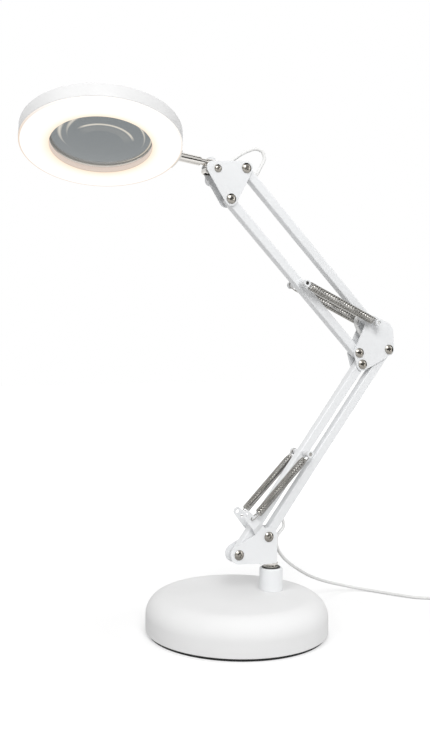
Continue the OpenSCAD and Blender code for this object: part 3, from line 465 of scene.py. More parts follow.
@dataclass(frozen=True)
class Finish:
    """One painted or moulded surface."""

    name: str
    slot: str
    color: Color
    roughness: float
    grain: Grain = Grain.MOULDED
    metallic: float = 0.0
    coat: float = 0.0
    blotch: float = 0.05

    BLOTCH_SIZE, BLOTCH_TONE, BLOTCH_FROM, BLOTCH_GAIN = 26.0, 0.82, 0.35, 4.0
    NOISE_MIDDLE, FINE_GLOSS, SLOW_GLOSS = 0.5, 0.1, 0.08
    RELIEF, COAT_ROUGHNESS = 0.35, 0.12

    def material(self) -> bpy.types.Material:
        """Makes the finish's material on the first call and finds it again on later ones.

        Returns:
            The material.
        """
        known = bpy.data.materials.get(self.name)
        if known:
            return known
        material = bpy.data.materials.new(self.name)
        bench = NodeBench.fresh(material)
        bench.add("ShaderNodeOutputMaterial", {"Surface": self.shader(bench).outputs[0]})
        return material

    def shader(self, bench: NodeBench) -> Node:
        """Builds the surface from fine grain, slow blotches of colour and an uneven gloss.

        Args:
            bench: The material's bench.

        Returns:
            The shader node.
        """
        size, depth, stretch = self.grain.value
        fine = self.cloud(bench, size, stretch)
        slow = self.cloud(bench, self.BLOTCH_SIZE, 1.0)
        darker = tuple(c * self.BLOTCH_TONE for c in self.color)
        bump = bench.add("ShaderNodeBump", {
            "Strength": self.RELIEF, "Distance": depth * MM, "Height": fine})
        uneven = (fine - self.NOISE_MIDDLE) * self.FINE_GLOSS + (slow - self.NOISE_MIDDLE) * self.SLOW_GLOSS
        blotches = (slow - self.BLOTCH_FROM) * (self.blotch * self.BLOTCH_GAIN)
        return bench.add("ShaderNodeBsdfPrincipled", {
            "Base Color": bench.mixed(blotches, self.color, darker), "Metallic": self.metallic,
            "Coat Weight": self.coat, "Coat Roughness": self.COAT_ROUGHNESS,
            "Roughness": uneven + self.roughness, "Normal": bump.outputs["Normal"]})

    @staticmethod
    def cloud(bench: NodeBench, size: float, stretch: float) -> Signal:
        """Makes noise.

        Args:
            bench: The material's bench.
            size: Its size in millimetres.
            stretch: Under 1, it is drawn out along Z.

        Returns:
            The noise, from 0 to 1.
        """
        scaled = bench.add("ShaderNodeMapping", {"Vector": bench.spot(), "Scale": (1.0, 1.0, stretch)})
        return bench.value("ShaderNodeTexNoise", {
            "Vector": scaled.outputs["Vector"], "Scale": 1.0 / (size * MM), "Detail": 2.0})


@dataclass(frozen=True)
class Metal(Finish):
    """One bare or plated metal."""

    grain: Grain = Grain.PLATED
    metallic: float = 1.0


@dataclass(frozen=True)
class HeadFinish(Finish):
    """A finish that follows the round of the head."""

    to_head: Matrix | None = None

    def spots(self, bench: NodeBench) -> tuple[Signal, Signal, Signal, Signal]:
        """Finds a point's place in the head.

        Args:
            bench: The material's bench.

        Returns:
            Its X, Y and Z in the head's axes and its distance to the head's axis, in millimetres.
        """
        moved, twist, _ = self.to_head.decompose()
        local = bench.add("ShaderNodeMapping", {
            "Vector": bench.spot(), "Location": moved, "Rotation": twist.to_euler()})
        x, y, z = bench.split(local.outputs[0])
        return x / MM, y / MM, z / MM, bench.length(bench.joined(x, y)) / MM


@dataclass(frozen=True)
class HousingFinish(HeadFinish):
    """The head's white plastic, with the ring's light on the wall of its opening."""

    opening: float = 52.0
    light_edge: Pair = (0.2, 0.7)
    wall_light: Color = (1.0, 0.94, 0.87)

    def shader(self, bench: NodeBench) -> Node:
        """Adds the warm light on the opening's wall to the plain finish.

        Args:
            bench: The material's bench.

        Returns:
            The shader node.
        """
        surface = super().shader(bench)
        share = self.spots(bench)[3].faded(*(self.opening + past for past in self.light_edge))
        bench.tree.links.new(bench.mixed(share, BLACK, self.wall_light), surface.inputs["Emission Color"])
        surface.inputs["Emission Strength"].default_value = 1.0
        return surface


@dataclass(frozen=True)
class GlowFinish(HeadFinish):
    """The frosted diffuser, which glows white and is warm towards its inner edge, most on its far side."""

    inner: float = 50.5
    outer: float = 80.4
    wall_foot: float = -8.25
    wall_height: float = 6.0
    strength: float = 0.93
    near_gain: float = 1.8
    wall_edge: Pair = (0.1, 0.25)
    line_depth: Pair = (1.9, 0.9)
    line_turn: Pair = (-0.8, 0.2)
    line_near: float = 0.1
    rim_line: Color = (0.74, 0.60, 0.48)

    FACE = ((0.0, (0.93, 0.74, 0.55)), (0.04, (0.98, 0.84, 0.67)), (0.15, (0.99, 0.90, 0.77)),
            (0.30, (1.0, 0.955, 0.89)), (0.50, (1.0, 0.99, 0.97)), (1.0, (1.0, 0.99, 0.975)))
    WALL = ((0.0, (0.45, 0.34, 0.28)), (0.12, (0.74, 0.62, 0.54)), (0.88, (0.72, 0.60, 0.53)),
            (1.0, (0.50, 0.40, 0.35)))

    def shader(self, bench: NodeBench) -> Node:
        """Builds the glow from the distance to the head's axis and from the height over the lit face.

        Args:
            bench: The material's bench.

        Returns:
            The shader node.
        """
        _, y, z, reach = self.spots(bench)
        far = y / reach
        share = (reach - self.inner) * far.eased(-1.0, 1.0, self.near_gain, 1.0) / (self.outer - self.inner)
        face = bench.add("ShaderNodeValToRGB", {0: share}, stops=self.FACE)
        rise = (z - self.wall_foot) / self.wall_height
        wall = bench.add("ShaderNodeValToRGB", {0: rise}, stops=self.WALL)
        line = reach.eased(*(self.outer - depth for depth in self.line_depth)) \
            * far.eased(*self.line_turn, self.line_near, 1.0)
        glow = bench.mixed(reach.faded(*(self.inner + past for past in self.wall_edge)),
                           bench.mixed(line, face.outputs[0], self.rim_line), wall.outputs[0])
        return bench.add("ShaderNodeBsdfPrincipled", {
            "Base Color": (*self.color, 1.0), "Roughness": self.roughness, "Emission Color": glow,
            "Emission Strength": self.strength})


@dataclass(frozen=True)
class LensFinish(HeadFinish):
    """Grey tinted glass with the ring's glow mirrored in it as an arc and a fan of streaks on each side.

    Radii are in millimetres, and turns in degrees from the near side's middle.
    """

    arc_radius: float = 32.0
    arc_width: Pair = (0.5, 1.6)
    arc_ends: Pair = (44.0, 66.0)
    arc_glare: float = 0.5
    band_inner: Pair = (21.5, 23.5)
    band_outer: Pair = (28.0, 31.0)
    band_ends: Pair = (45.0, 75.0)
    band_glare: float = 0.04
    left_fan: Pair = (46.0, 75.0)
    right_fan: Pair = (35.0, 98.0)
    left_swirl: float = 3.8
    right_swirl: float = 9.0
    streak_start: Pair = (31.0, 40.0)
    streak_end: float = 46.0
    streak_spread: Pair = (32.0, 47.0)
    streak_width: Pair = (2.0, 13.0)
    streak_glare: float = 0.5
    ground_edge: Pair = (51.85, 51.93)
    side_change: Pair = (-0.1, 0.1)
    face_change: Pair = (-0.5, 0.5)
    shine: Color = (0.95, 0.83, 0.66)
    painted_edge_light: Color = (1.0, 0.86, 0.75)

    def shader(self, bench: NodeBench) -> Node:
        """Builds polished glass, with the mirrored glow on its lower face.

        Args:
            bench: The material's bench.

        Returns:
            The shader node.
        """
        x, y, z, reach = self.spots(bench)
        turn = bench.value("ShaderNodeMath", {0: x, 1: y * -1.0}, operation="ARCTAN2")
        away = abs(turn) * math.degrees(1.0)
        arc = abs(reach - self.arc_radius).faded(*self.arc_width) * away.faded(*self.arc_ends)
        band = reach.eased(*self.band_inner) * reach.faded(*self.band_outer) * away.faded(*self.band_ends)
        right = turn.eased(*self.side_change)
        swirl = away - (self.streak_end - reach) * (right * (self.right_swirl - self.left_swirl)
                                                    + self.left_swirl)
        width = reach.eased(*self.streak_spread, *self.streak_width)
        fan = [abs(swirl - right * (there - here) - here).faded(0.0, width)
               for here, there in zip(self.left_fan, self.right_fan)]
        start, right_start = self.streak_start
        strength = reach.eased(right * (right_start - start) + start, self.streak_end, 0.0,
                               self.streak_glare)
        glare = arc * self.arc_glare + band * self.band_glare + (fan[0] + fan[1]) * strength
        shine = bench.mixed(glare * z.faded(*self.face_change), BLACK, self.shine)
        # The ground edge glows warm so that it looks like the lit wall beside it: painted light on the
        # glass's edge.
        ground = reach.eased(*self.ground_edge)
        return bench.add("ShaderNodeBsdfPrincipled", {
            "Base Color": (*self.color, 1.0), "Roughness": self.roughness, "IOR": 1.12,
            "Transmission Weight": 1.0, "Coat Weight": self.coat, "Coat Roughness": 0.02,
            "Emission Color": bench.mixed(ground, shine, self.painted_edge_light), "Emission Strength": 1.0})


ARM_WHITE = Finish("arm_white_powder_coat", "arm_white", (0.80, 0.81, 0.82), 0.36, Grain.POWDER, coat=0.15)
BASE_WHITE = Finish("base_white_satin", "base_white", (0.79, 0.79, 0.79), 0.75)
CAP_WHITE = Finish("cap_white_nylon", "cap_white", (0.76, 0.77, 0.78), 0.48)
CABLE_WHITE = Finish("cable_white_jacket", "cable_white", (0.78, 0.78, 0.77), 0.5, Grain.SOFT)
CONTROL_WHITE = Finish("controller_white_shell", "controller_white", (0.76, 0.765, 0.77), 0.45)
BUTTON_GREY = Finish("button_grey_shell", "button_grey", (0.42, 0.43, 0.44), 0.5)
BRIGHT_STEEL = Metal("bright_nickel_plate", "bright_steel", (0.62, 0.60, 0.57), 0.16)
# A darker copy of the bright steel for the screws: painted shade, standing in for the dark surroundings that
# their chrome mirrors.
PAINTED_SHADE_SCREW_STEEL = Metal("screw_steel_painted_shade", "bright_steel", (0.27, 0.255, 0.23), 0.18)
# A lighter, rougher copy of the bright steel for the elbow rod, whose ends show in its caps' holes: painted
# light in those holes.
PAINTED_LIGHT_ROD_STEEL = Metal("rod_steel_painted_light", "bright_steel", (0.70, 0.70, 0.69), 0.5)
SPRING_STEEL = Metal("drawn_spring_wire", "spring_steel", (0.33, 0.32, 0.30), 0.17)
SHEET_STEEL = Metal("plain_sheet_steel", "sheet_steel", (0.42, 0.42, 0.43), 0.38, Grain.SHEET)
FOOT_BLACK = Finish("foot_black_rubber", "foot_rubber", (0.02, 0.02, 0.02), 0.85, Grain.SOFT)
BUSH_BLACK = Finish("bush_black_nylon", "bush_black", (0.03, 0.03, 0.03), 0.5)
TIE_BLACK = Finish("tie_black_nylon", "tie_black", (0.03, 0.03, 0.03), 0.55)
WEIGHT_IRON = Metal("weight_cast_iron", "cast_weight", (0.09, 0.09, 0.09), 0.75, Grain.CAST, metallic=0.6)
BOARD_WHITE = Finish("board_white_mask", "board_white", (0.80, 0.78, 0.72), 0.45)
BOARD_GREEN = Finish("board_green_mask", "board_green", (0.02, 0.12, 0.05), 0.4)


# The arm's plan, as in the part's source

@dataclass(frozen=True)
class ArmPlan:
    """Pivots and holes of the arm in its own plane, in millimetres, as [x, z]."""

    front_pivot: Pair = (0.0, 80.5)
    back_pivot: Pair = (34.7, 96.9)
    elbow_step: Pair = (-4.0, 12.7)
    elbow_link: Pair = (17.6, 33.0)
    tilt_step: Pair = (-15.2, 30.3)
    lower_length: float = 248.5
    lower_slope: float = 52.6
    upper_length: float = 223.5
    upper_slope: float = 134.25
    lower_rod_at: float = 129.0
    upper_rod_at: float = 103.5
    spring_hole: Pair = (12.2, 117.9)
    rod_slope: float = 7.5
    head_twist: float = 17.5
    head_reach: float = 125.0
    rod_rise: float = 5.0

    @staticmethod
    def along(start: Pair, length: float, slope: float, step: Pair = (0.0, 0.0)) -> Pair:
        """Returns the point at a length along a slope in degrees, and a step from there."""
        turn = math.radians(slope)
        return start[0] + length * math.cos(turn) + step[0], start[1] + length * math.sin(turn) + step[1]

    @property
    def elbow_front(self) -> Pair:
        """The upper front pivot at the elbow."""
        return self.along(self.front_pivot, self.lower_length, self.lower_slope, self.elbow_step)

    @property
    def elbow_back(self) -> Pair:
        """The elbow's cross rod, which is the upper back pivot."""
        return self.along(self.elbow_front, 0.0, 0.0, self.elbow_link)

    @property
    def lower_rod(self) -> Pair:
        """The cross rod on the lower front bar."""
        return self.along(self.front_pivot, self.lower_rod_at, self.lower_slope)

    @property
    def upper_rod(self) -> Pair:
        """The cross rod on the upper front bar."""
        return self.along(self.elbow_front, self.upper_rod_at, self.upper_slope)

    @property
    def tilt_pivot(self) -> Pair:
        """The pivot that the head tilts on."""
        return self.along(self.elbow_front, self.upper_length, self.upper_slope, self.tilt_step)

    def on_link(self, upper: bool, at: float, *ups: float) -> list[Triple]:
        """Finds points on a back bar, square to its axis.

        Args:
            upper: True for the upper back bar.
            at: The place along the bar, from its lower pivot.
            *ups: Each point's height over the axis, towards the upper left or the lower left face.

        Returns:
            The points.
        """
        slope = self.upper_slope if upper else self.lower_slope
        foot = self.along(self.elbow_back if upper else self.back_pivot, at, slope)
        return [(x, 0.0, z) for x, z in (self.along(foot, up, slope + 90) for up in ups)]

    def on_rod(self, at: float) -> Triple:
        """Returns a point on the head's rod, back from the tilt pivot."""
        top = self.along(self.tilt_pivot, self.rod_rise, 90 - self.rod_slope)
        x, z = self.along(top, at, -self.rod_slope)
        return x, 0.0, z

    def head_axes(self) -> Matrix:
        """Returns the head's axes: the lit face looks along -Z, and the rod runs along X."""
        x, z = self.tilt_pivot
        return shift(x, 0.0, z) @ turned(self.rod_slope, "Y") \
            @ shift(-self.head_reach, 0.0, self.rod_rise) @ turned(-self.head_twist, "X")


PLAN = ArmPlan()


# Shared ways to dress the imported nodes

@dataclass
class Assembly:
    """What every sub-assembly shares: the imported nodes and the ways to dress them."""

    nodes: dict[str, Piece]

    def paint(self, finish: Finish, *names: str) -> None:
        """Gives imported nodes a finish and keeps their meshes.

        Args:
            finish: The finish.
            *names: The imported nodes.
        """
        for name in names:
            materials = self.nodes[name].data.materials
            materials.clear()
            materials.append(finish.material())
            LOG.info("painted %s", name)

    def break_edges(self, finish: Finish, width: float, *names: str,
                    steps: int = 2) -> list[Piece]:
        """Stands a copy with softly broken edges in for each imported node.

        Args:
            finish: The copies' finish.
            width: Width of the broken edge in millimetres.
            *names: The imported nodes.
            steps: Faces across a broken edge.

        Returns:
            The copies, riding on the same bodies.
        """
        copies = []
        for name in names:
            mesh = self.nodes[name].data.copy()
            shape = bmesh.new()
            shape.from_mesh(mesh)
            bmesh.ops.remove_doubles(shape, verts=shape.verts, dist=MERGE_WITHIN)
            bmesh.ops.dissolve_limit(shape, angle_limit=math.radians(FLAT_WITHIN), verts=shape.verts,
                                     edges=shape.edges)
            shape.to_mesh(mesh)
            shape.free()
            mesh.materials.clear()
            copy = link_piece(name + "_finished", mesh)
            soften(mesh, CRISP_EDGE)
            edge = copy.modifiers.new("edge", "BEVEL")
            edge.width = width * MM
            edge.segments = steps
            edge.limit_method = "ANGLE"
            edge.angle_limit = math.radians(CRISP_EDGE)
            edge.use_clamp_overlap = True
            edge.harden_normals = True
            copies.append(self.place(copy, finish, self.nodes[name]["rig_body"], name))
        return copies

    def place(self, piece: Piece, finish: Finish, body: str, *replaced: str) -> Piece:
        """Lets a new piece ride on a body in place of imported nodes.

        Args:
            piece: The new piece.
            finish: Its finish.
            body: The body it rides on.
            *replaced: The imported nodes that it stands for.

        Returns:
            The piece.
        """
        if not piece.data.materials:
            piece.data.materials.append(finish.material())
        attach(piece, body)
        if replaced:
            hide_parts(*replaced)
        LOG.info("made %s, riding on %s", piece.name, body)
        return piece


# Camera and studio

@dataclass
class PhotoCamera:
    """The photograph's view: level, from the front left of the arm's plane."""

    place: Triple = (-0.406, -0.841, 0.296)
    azimuth: float = -21.9
    focal_pixels: float = 890.0
    axis_pixel: Pair = (176.0, 348.0)

    def build(self) -> None:
        """Makes the camera and hands it to the scene."""
        width, height = PHOTO_SIZE
        long_side = max(PHOTO_SIZE)
        data = bpy.data.cameras.new("photo_camera")
        data.sensor_width = SENSOR
        data.lens = self.focal_pixels / long_side * SENSOR
        data.shift_x = (width / 2 - self.axis_pixel[0]) / long_side
        data.shift_y = (self.axis_pixel[1] - height / 2) / long_side
        data.clip_start = 0.01
        camera = link_piece("photo_camera", data)
        camera.location = self.place
        camera.rotation_euler = (math.pi / 2, 0.0, math.radians(self.azimuth))
        bpy.context.scene.camera = camera
        LOG.info("camera placed")


@dataclass
class Studio:
    """A white sweep with soft lamps, and dark cards that only polished metal mirrors."""

    floor_radius: float = 6.0
    floor_tone: float = 0.60
    floor_glow: Pair = (0.42, 0.85)
    glow_reach: Pair = (0.15, 0.95)
    sky_light: float = 0.40
    card_tone: float = 0.02
    target: Triple = (0.05, 0.0, 0.25)

    LAMPS = (("front_softbox", (-0.55, -2.0, 1.75), 1.2, 36.0),
             ("left_softbox", (-1.9, -0.7, 1.8), 1.2, 15.0),
             ("top_softbox", (0.3, 0.3, 2.3), 1.8, 9.0),
             ("right_softbox", (2.1, -0.9, 0.9), 1.2, 12.0))
    CARDS = (("front_card", (0.40, -1.35, 0.35), (1.5, 0.8)),
             ("right_card", (1.25, 0.15, 0.4), (1.2, 1.3)),
             ("left_card", (-1.1, -0.75, 0.30), (0.35, 1.2)),
             ("ceiling_card", (0.3, -0.35, 1.5), (1.4, 0.5)))

    def build(self) -> None:
        """Makes the floor, the world, the lamps and the cards."""
        bpy.context.scene.view_settings.view_transform = "Standard"
        self._floor()
        self._world()
        self._lamps()
        self._cards()
        LOG.info("studio lit")

    def _facing(self, place: Triple) -> Quaternion:
        """Returns the turn that looks from a place at the lamp's middle."""
        return (Vector(self.target) - Vector(place)).to_track_quat("-Z", "Y")

    @staticmethod
    def _sheet(name: str, corners: Sequence[Any], tone: float) -> tuple[Piece, NodeBench, Any]:
        """Makes a flat matt stage piece.

        Args:
            name: Its name.
            corners: Its four corners, in metres.
            tone: Its grey.

        Returns:
            The piece, its material's bench and its diffuse shader's socket.
        """
        mesh = bpy.data.meshes.new(name)
        mesh.from_pydata(corners, [], [(0, 1, 2, 3)])
        mesh.materials.append(bpy.data.materials.new(name))
        bench = NodeBench.fresh(mesh.materials[0])
        matt = bench.add("ShaderNodeBsdfDiffuse", {"Color": (tone, tone, tone, 1.0)})
        return link_piece(name, mesh), bench, matt.outputs[0]

    @staticmethod
    def _seen(bench: NodeBench) -> Signal:
        """Tells rays that end in the picture from rays that only carry light.

        Args:
            bench: The bench of the floor's material or of the world.

        Returns:
            1 for rays from the camera, off gloss and through glass, and 0 for the others.
        """
        rays = bench.add("ShaderNodeLightPath").outputs
        camera, gloss, glass = (Signal(bench, rays[f"Is {kind} Ray"])
                                for kind in ("Camera", "Glossy", "Transmission"))
        return camera + gloss + glass

    def _floor(self) -> None:
        """Makes the floor, which the camera sees as white wherever no shadow falls."""
        r = self.floor_radius
        floor, bench, matt = self._sheet("studio_floor", [(-r, -r, 0), (r, -r, 0), (r, r, 0), (-r, r, 0)],
                                         self.floor_tone)
        glow = bench.length(bench.spot()).eased(*self.glow_reach, *self.floor_glow)
        lift = bench.add("ShaderNodeEmission", {
            "Color": (1.0, 1.0, 1.0, 1.0), "Strength": self._seen(bench) * glow})
        both = bench.add("ShaderNodeAddShader", {0: matt, 1: lift.outputs[0]})
        bench.add("ShaderNodeOutputMaterial", {"Surface": both.outputs[0]})

    def _world(self) -> None:
        """Makes a world that is white to look at and softer as a light."""
        world = bpy.data.worlds.new("studio_world")
        bpy.context.scene.world = world
        bench = NodeBench.fresh(world)
        light = self._seen(bench) * (1.0 - self.sky_light) + self.sky_light
        air = bench.add("ShaderNodeBackground", {"Color": (1.0, 1.0, 1.0, 1.0), "Strength": light})
        bench.add("ShaderNodeOutputWorld", {"Surface": air.outputs[0]})

    def _lamps(self) -> None:
        """Makes the square soft lamps, which look at the lamp's middle."""
        for name, place, size, power in self.LAMPS:
            data = bpy.data.lights.new(name, "AREA")
            data.size, data.energy = size, power
            lamp = link_piece(name, data)
            lamp.location = place
            lamp.rotation_euler = self._facing(place).to_euler()

    def _cards(self) -> None:
        """Makes the dark cards, which face the lamp's middle and show only in polished metal."""
        for name, place, (width, height) in self.CARDS:
            across = self._facing(place) @ Vector((width / 2, 0, 0))
            up = self._facing(place) @ Vector((0, height / 2, 0))
            corners = [Vector(place) + across * x + up * y for x, y in ((-1, -1), (1, -1), (1, 1), (-1, 1))]
            card, bench, matt = self._sheet(name, corners, self.card_tone)
            bench.add("ShaderNodeOutputMaterial", {"Surface": matt})
            for ray in ("camera", "diffuse", "transmission", "volume_scatter", "shadow"):
                setattr(card, "visible_" + ray, False)


# Cables and the cord

class Cables:
    """Geometry Nodes trees for round cables and for ribbed sleeves."""

    SIDES, CORE_SIDES, HOOP_SIDES, RIB_SIDES = 20, 32, 28, 8
    FIRST_RIB, RIBBED_SHARE, TIP_RIB = 0.05, 0.86, 0.6

    def __init__(self) -> None:
        """Builds both trees."""
        self.round_tree = FormTree("round_cable", Radius=0.00175)
        self.round_tree.close(self.round_tree.swept(self.round_tree.line(), self.round_tree.given("Radius"),
                                                    self.SIDES))
        self.ribbed_tree = self._ribbed()

    def _ribbed(self) -> FormTree:
        """Builds a tapered sleeve along Z with round ribs that shrink with it.

        Returns:
            The sleeve's tree.
        """
        tree = FormTree("ribbed_sleeve", Length=0.009, Root=0.0033, Tip=0.0022, Ribs=6, Rib=0.0004)
        length, root, tip, count, rib = tree.numbers("Length", "Root", "Tip", "Ribs", "Rib")
        core = tree.add("GeometryNodeMeshCone", {
            "Vertices": self.CORE_SIDES, "Radius Bottom": root - rib,
            "Radius Top": tip - rib * self.TIP_RIB, "Depth": length}, fill_type="NGON")
        row = tree.add("GeometryNodeMeshLine", {
            "Count": count, "Start Location": tree.joined(z=length * self.FIRST_RIB),
            "Offset": tree.joined(z=length * self.RIBBED_SHARE / (count - 1))}, mode="OFFSET")
        hoop = tree.add("GeometryNodeCurvePrimitiveCircle", {"Resolution": self.HOOP_SIDES, "Radius": 1.0},
                        mode="RADIUS")
        size = root - rib - tree.value("GeometryNodeInputIndex") * ((root - tip) / (count - 1))
        sized = tree.add("GeometryNodeInstanceOnPoints", {
            "Points": row.outputs["Mesh"], "Instance": hoop.outputs["Curve"], "Scale": size})
        hoops = tree.add("GeometryNodeRealizeInstances", {"Geometry": sized.outputs["Instances"]})
        ribs = tree.swept(hoops.outputs["Geometry"], rib, self.RIB_SIDES)
        both = tree.add("GeometryNodeJoinGeometry", {"Geometry": [core.outputs["Mesh"], ribs]})
        return tree.close(both.outputs["Geometry"])

    def lay(self, name: str, path: Sequence[Vector], radius: float) -> Piece:
        """Makes a round cable along a path in millimetres."""
        return self.round_tree.grow(name, polyline(name, path), Matrix(), CABLE_WHITE, Radius=radius * MM)

    def sleeve(self, name: str, place: Matrix, length: float, root: float, tip: float) -> Piece:
        """Makes a ribbed strain relief, with its root at the place's origin and its tip along Z."""
        return self.ribbed_tree.grow(name, polyline(name, [(0, 0, 0), (0, 0, 1)]), place, CABLE_WHITE,
                                     Length=length * MM, Root=root * MM, Tip=tip * MM)


@dataclass
class FeedCord(Assembly):
    """The lead from the arm to its plug, with the inline controller and the coil on the way."""

    cables: Cables
    diameter: float = 3.5
    real_length: float = 1.53
    coil_middle: Pair = (262.0, -42.0)
    coil_outer: float = 28.1
    coil_inner: float = 12.1
    coil_turns: int = 4
    coil_lift: float = 0.7
    coil_step: float = 4.0
    plug_place: Triple = (234.0, -78.5, 3.75)
    plug_turn: float = 205.0
    relief_length: float = 9.0
    relief_root: float = 1.6
    relief_tip: float = 0.5
    controller_place: Pair = (306.0, -34.0)
    controller_length: float = 62.0
    controller_height: float = 10.0
    shell_edge: float = 0.9
    grip_edge: float = 0.8
    button_edge: float = 0.45
    steps: int = 6

    lead = [(47.5, 0, 90.8), (47.4, 0, 88.1), (48.9, 1, 83.8), (54, 5, 76.5), (62.5, 11.5, 68.5),
            (75.4, 22, 59.2), (95, 38, 47.2), (121, 58, 32.8), (141, 70, 23.6), (160.5, 79.5, 15.8),
            (180, 84.5, 9.6), (197, 84, 5), (210, 78, 2.6), (219, 69, 1.75), (226, 58, 1.75),
            (236, 43, 1.75), (247, 29, 1.75), (262, 19, 1.75), (279, 16, 1.75), (293, 16.3, 2.2),
            (302.3, 14.4, 3.5), (305.6, 10.9, 4.8), (306, 8.4, 5), (306, 6.1, 5)]
    through = [(306, -2, 5), (305.2, -6.5, 4.8), (301.6, -12.5, 4.45), (300.4, -20, 4.4),
               (300.4, -34, 4.4), (300.4, -48, 4.4), (301.6, -55.5, 4.45), (305.2, -61.5, 4.8),
               (306, -66, 5)]
    middle = [(306, -74.15, 5), (306, -78, 5), (305.2, -83, 4.1), (302, -88.6, 2.5), (295, -92, 1.75),
              (286, -87, 1.75), (276, -76.5, 2), (269, -71.2, 2.4), (262, -70.1, 2.45)]
    tail = [(262, -70.1, 6.45), (254, -70.9, 6.2), (246, -73.2, 5), (240, -75.6, 4), (234, -78.5, 3.75)]

    def coil(self, rings: int = 40) -> list[Vector]:
        """Winds the coil's path: it spirals in, climbs one layer and spirals out again.

        Args:
            rings: Points in each turn.

        Returns:
            The path, in millimetres.
        """
        path = []
        inward = self.coil_turns * rings
        for i in range(1, 2 * inward):
            share = i / inward if i <= inward else 2 - i / inward
            radius = self.coil_outer + (self.coil_inner - self.coil_outer) * share
            turn = math.radians(-90 - 360 * i / rings)
            lift = min(1.0, max(0.0, (i - inward + rings / 4) / (rings / 2)))
            path.append(Vector((self.coil_middle[0] + radius * math.cos(turn),
                                self.coil_middle[1] + radius * math.sin(turn),
                                self.diameter / 2 + self.coil_lift + self.coil_step * lift)))
        return path

    def build(self) -> None:
        """Lays the cord, then dresses what is on it."""
        path = smooth_path(self.lead, self.steps) + smooth_path(self.through, 4) \
            + smooth_path(self.middle, self.steps) + self.coil() + smooth_path(self.tail, self.steps)
        cord = self.cables.lay("feed_cord", path, self.diameter / 2)
        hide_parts("cord_lead", "cord_mid", "cord_coil", "cord_end")
        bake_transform(cord)
        pieces = self._dress()
        [p * MM for p in path]
        LOG.info("cord laid")

    def _dress(self) -> list[Piece]:
        """Dresses the controller, the strain reliefs, the tie and the plug.

        Returns:
            These pieces.
        """
        pieces = self.break_edges(CONTROL_WHITE, self.shell_edge, "controller_bottom", "controller_top",
                                  steps=4)
        pieces += self.break_edges(BUTTON_GREY, self.button_edge, "power_button", "brighter_button",
                                   "dimmer_button", steps=3)
        pieces += self.break_edges(CONTROL_WHITE, self.grip_edge, "usb_grip", steps=4)
        for finish, name in ((BOARD_GREEN, "controller_board"), (BRIGHT_STEEL, "usb_shell"),
                             (TIE_BLACK, "coil_tie")):
            self.paint(finish, name)
            pieces.append(self.nodes[name])
        x, y = self.controller_place
        half, rise = self.controller_length / 2, self.controller_height / 2
        reliefs = {"near_relief": shift(x, y + half, rise) @ turned(-90, "X"),
                   "far_relief": shift(x, y - half, rise) @ turned(90, "X"),
                   "plug_relief": shift(*self.plug_place) @ turned(self.plug_turn, "Z")
                   @ shift(self.relief_length, 0, 0) @ turned(-90, "Y")}
        root, tip = self.diameter / 2 + self.relief_root, self.diameter / 2 + self.relief_tip
        sleeves = [self.cables.sleeve(name, place, self.relief_length, root, tip)
                   for name, place in reliefs.items()]
        self.place(sleeves[0], CABLE_WHITE, "base", "cord_reliefs")
        for sleeve in sleeves[1:]:
            self.place(sleeve, CABLE_WHITE, "base")
        return pieces + sleeves


@dataclass
class ArmCables(Assembly):
    """The short lengths of cable that show between the bars."""

    cables: Cables
    radius: float = 1.75
    tail_hole: float = 24.0
    elbow_hole: float = 16.0
    loop_hole: float = 14.0
    steps: int = 8

    def build(self) -> None:
        """Makes the tail, both halves of the elbow's length and both parts of the loop over the head."""
        tail = PLAN.on_link(False, self.tail_hole, -3.1, -7.5) + [
            (56.6, 0, 107.5), (55.3, 0, 103.6), (52.2, 0, 100.3), (49.4, 0, 97.3), (47.7, 0, 94.2),
            (47.5, 0, 90.8)]
        elbow = PLAN.on_link(False, PLAN.lower_length - self.elbow_hole, 3.1, 7) + [
            (166.3, 0, 290.8), (161.5, 0, 298.8), (156, 0, 307), (150.8, 0, 314.5), (147.3, 0, 321),
            (146.2, 0, 325.6)] + PLAN.on_link(True, self.elbow_hole, 7, 3.1)
        loop = PLAN.on_link(True, PLAN.upper_length - self.loop_hole, -3.1, -8) + [
            (29.5, 0, 489), (33, 0, 496), (31, 0, 503.2), (24, 0, 506.2), (15, 0, 503.8), (5.6, 0, 499),
            (-2, 0, 493.6), (-6.5, 0, 489.2), (-9.3, 0, 485.7), PLAN.on_rod(11.4), PLAN.on_rod(8.3)]
        tail, elbow, loop = (smooth_path(points, self.steps) for points in (tail, elbow, loop))
        elbow_cut, loop_cut = 4 * self.steps, 5 * self.steps
        for name, path, near, far, start, end, *replaced in (
                ("cable_tail_jacket", tail, "lower_link_body", "lower_bracket_body",
                 (0.0566, 0, 0.1075), (0.0477, 0, 0.0942), "cable_tail"),
                ("elbow_cable_low", elbow[:elbow_cut + 1], "lower_link_body", "elbow_body",
                 (0.1707, 0, 0.2855), (0.1575, 0, 0.3050), "elbow_cable"),
                ("elbow_cable_high", elbow[elbow_cut:], "elbow_body", "upper_link_body",
                 (0.1550, 0, 0.3085), (0.1470, 0, 0.3255)),
                ("cable_loop_jacket", loop[:loop_cut + 1], "upper_link_body", "head_bracket_body",
                 (0.0255, 0, 0.4845), (0.0245, 0, 0.5060), "cable_loop"),
                ("cable_loop_end", loop[loop_cut:], "head_bracket_body", "tilt_body",
                 (0.0080, 0, 0.5000), (-0.0100, 0, 0.4860))):
            cable = self.cables.lay(name, path, self.radius)
            if replaced:
                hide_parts(*replaced)
            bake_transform(cable)
            LOG.info("made %s between %s and %s", name, near, far)
        self.paint(CABLE_WHITE, "lower_cable", "upper_cable")


# Springs

def bow(radius: float, first: int, last: int, step: int = -12) -> list[Pair]:
    """Returns points round a circle, between two angles from its top in degrees."""
    turns = [math.radians(angle) for angle in range(first, last, step)]
    return [(radius * math.sin(turn), radius * math.cos(turn)) for turn in turns]


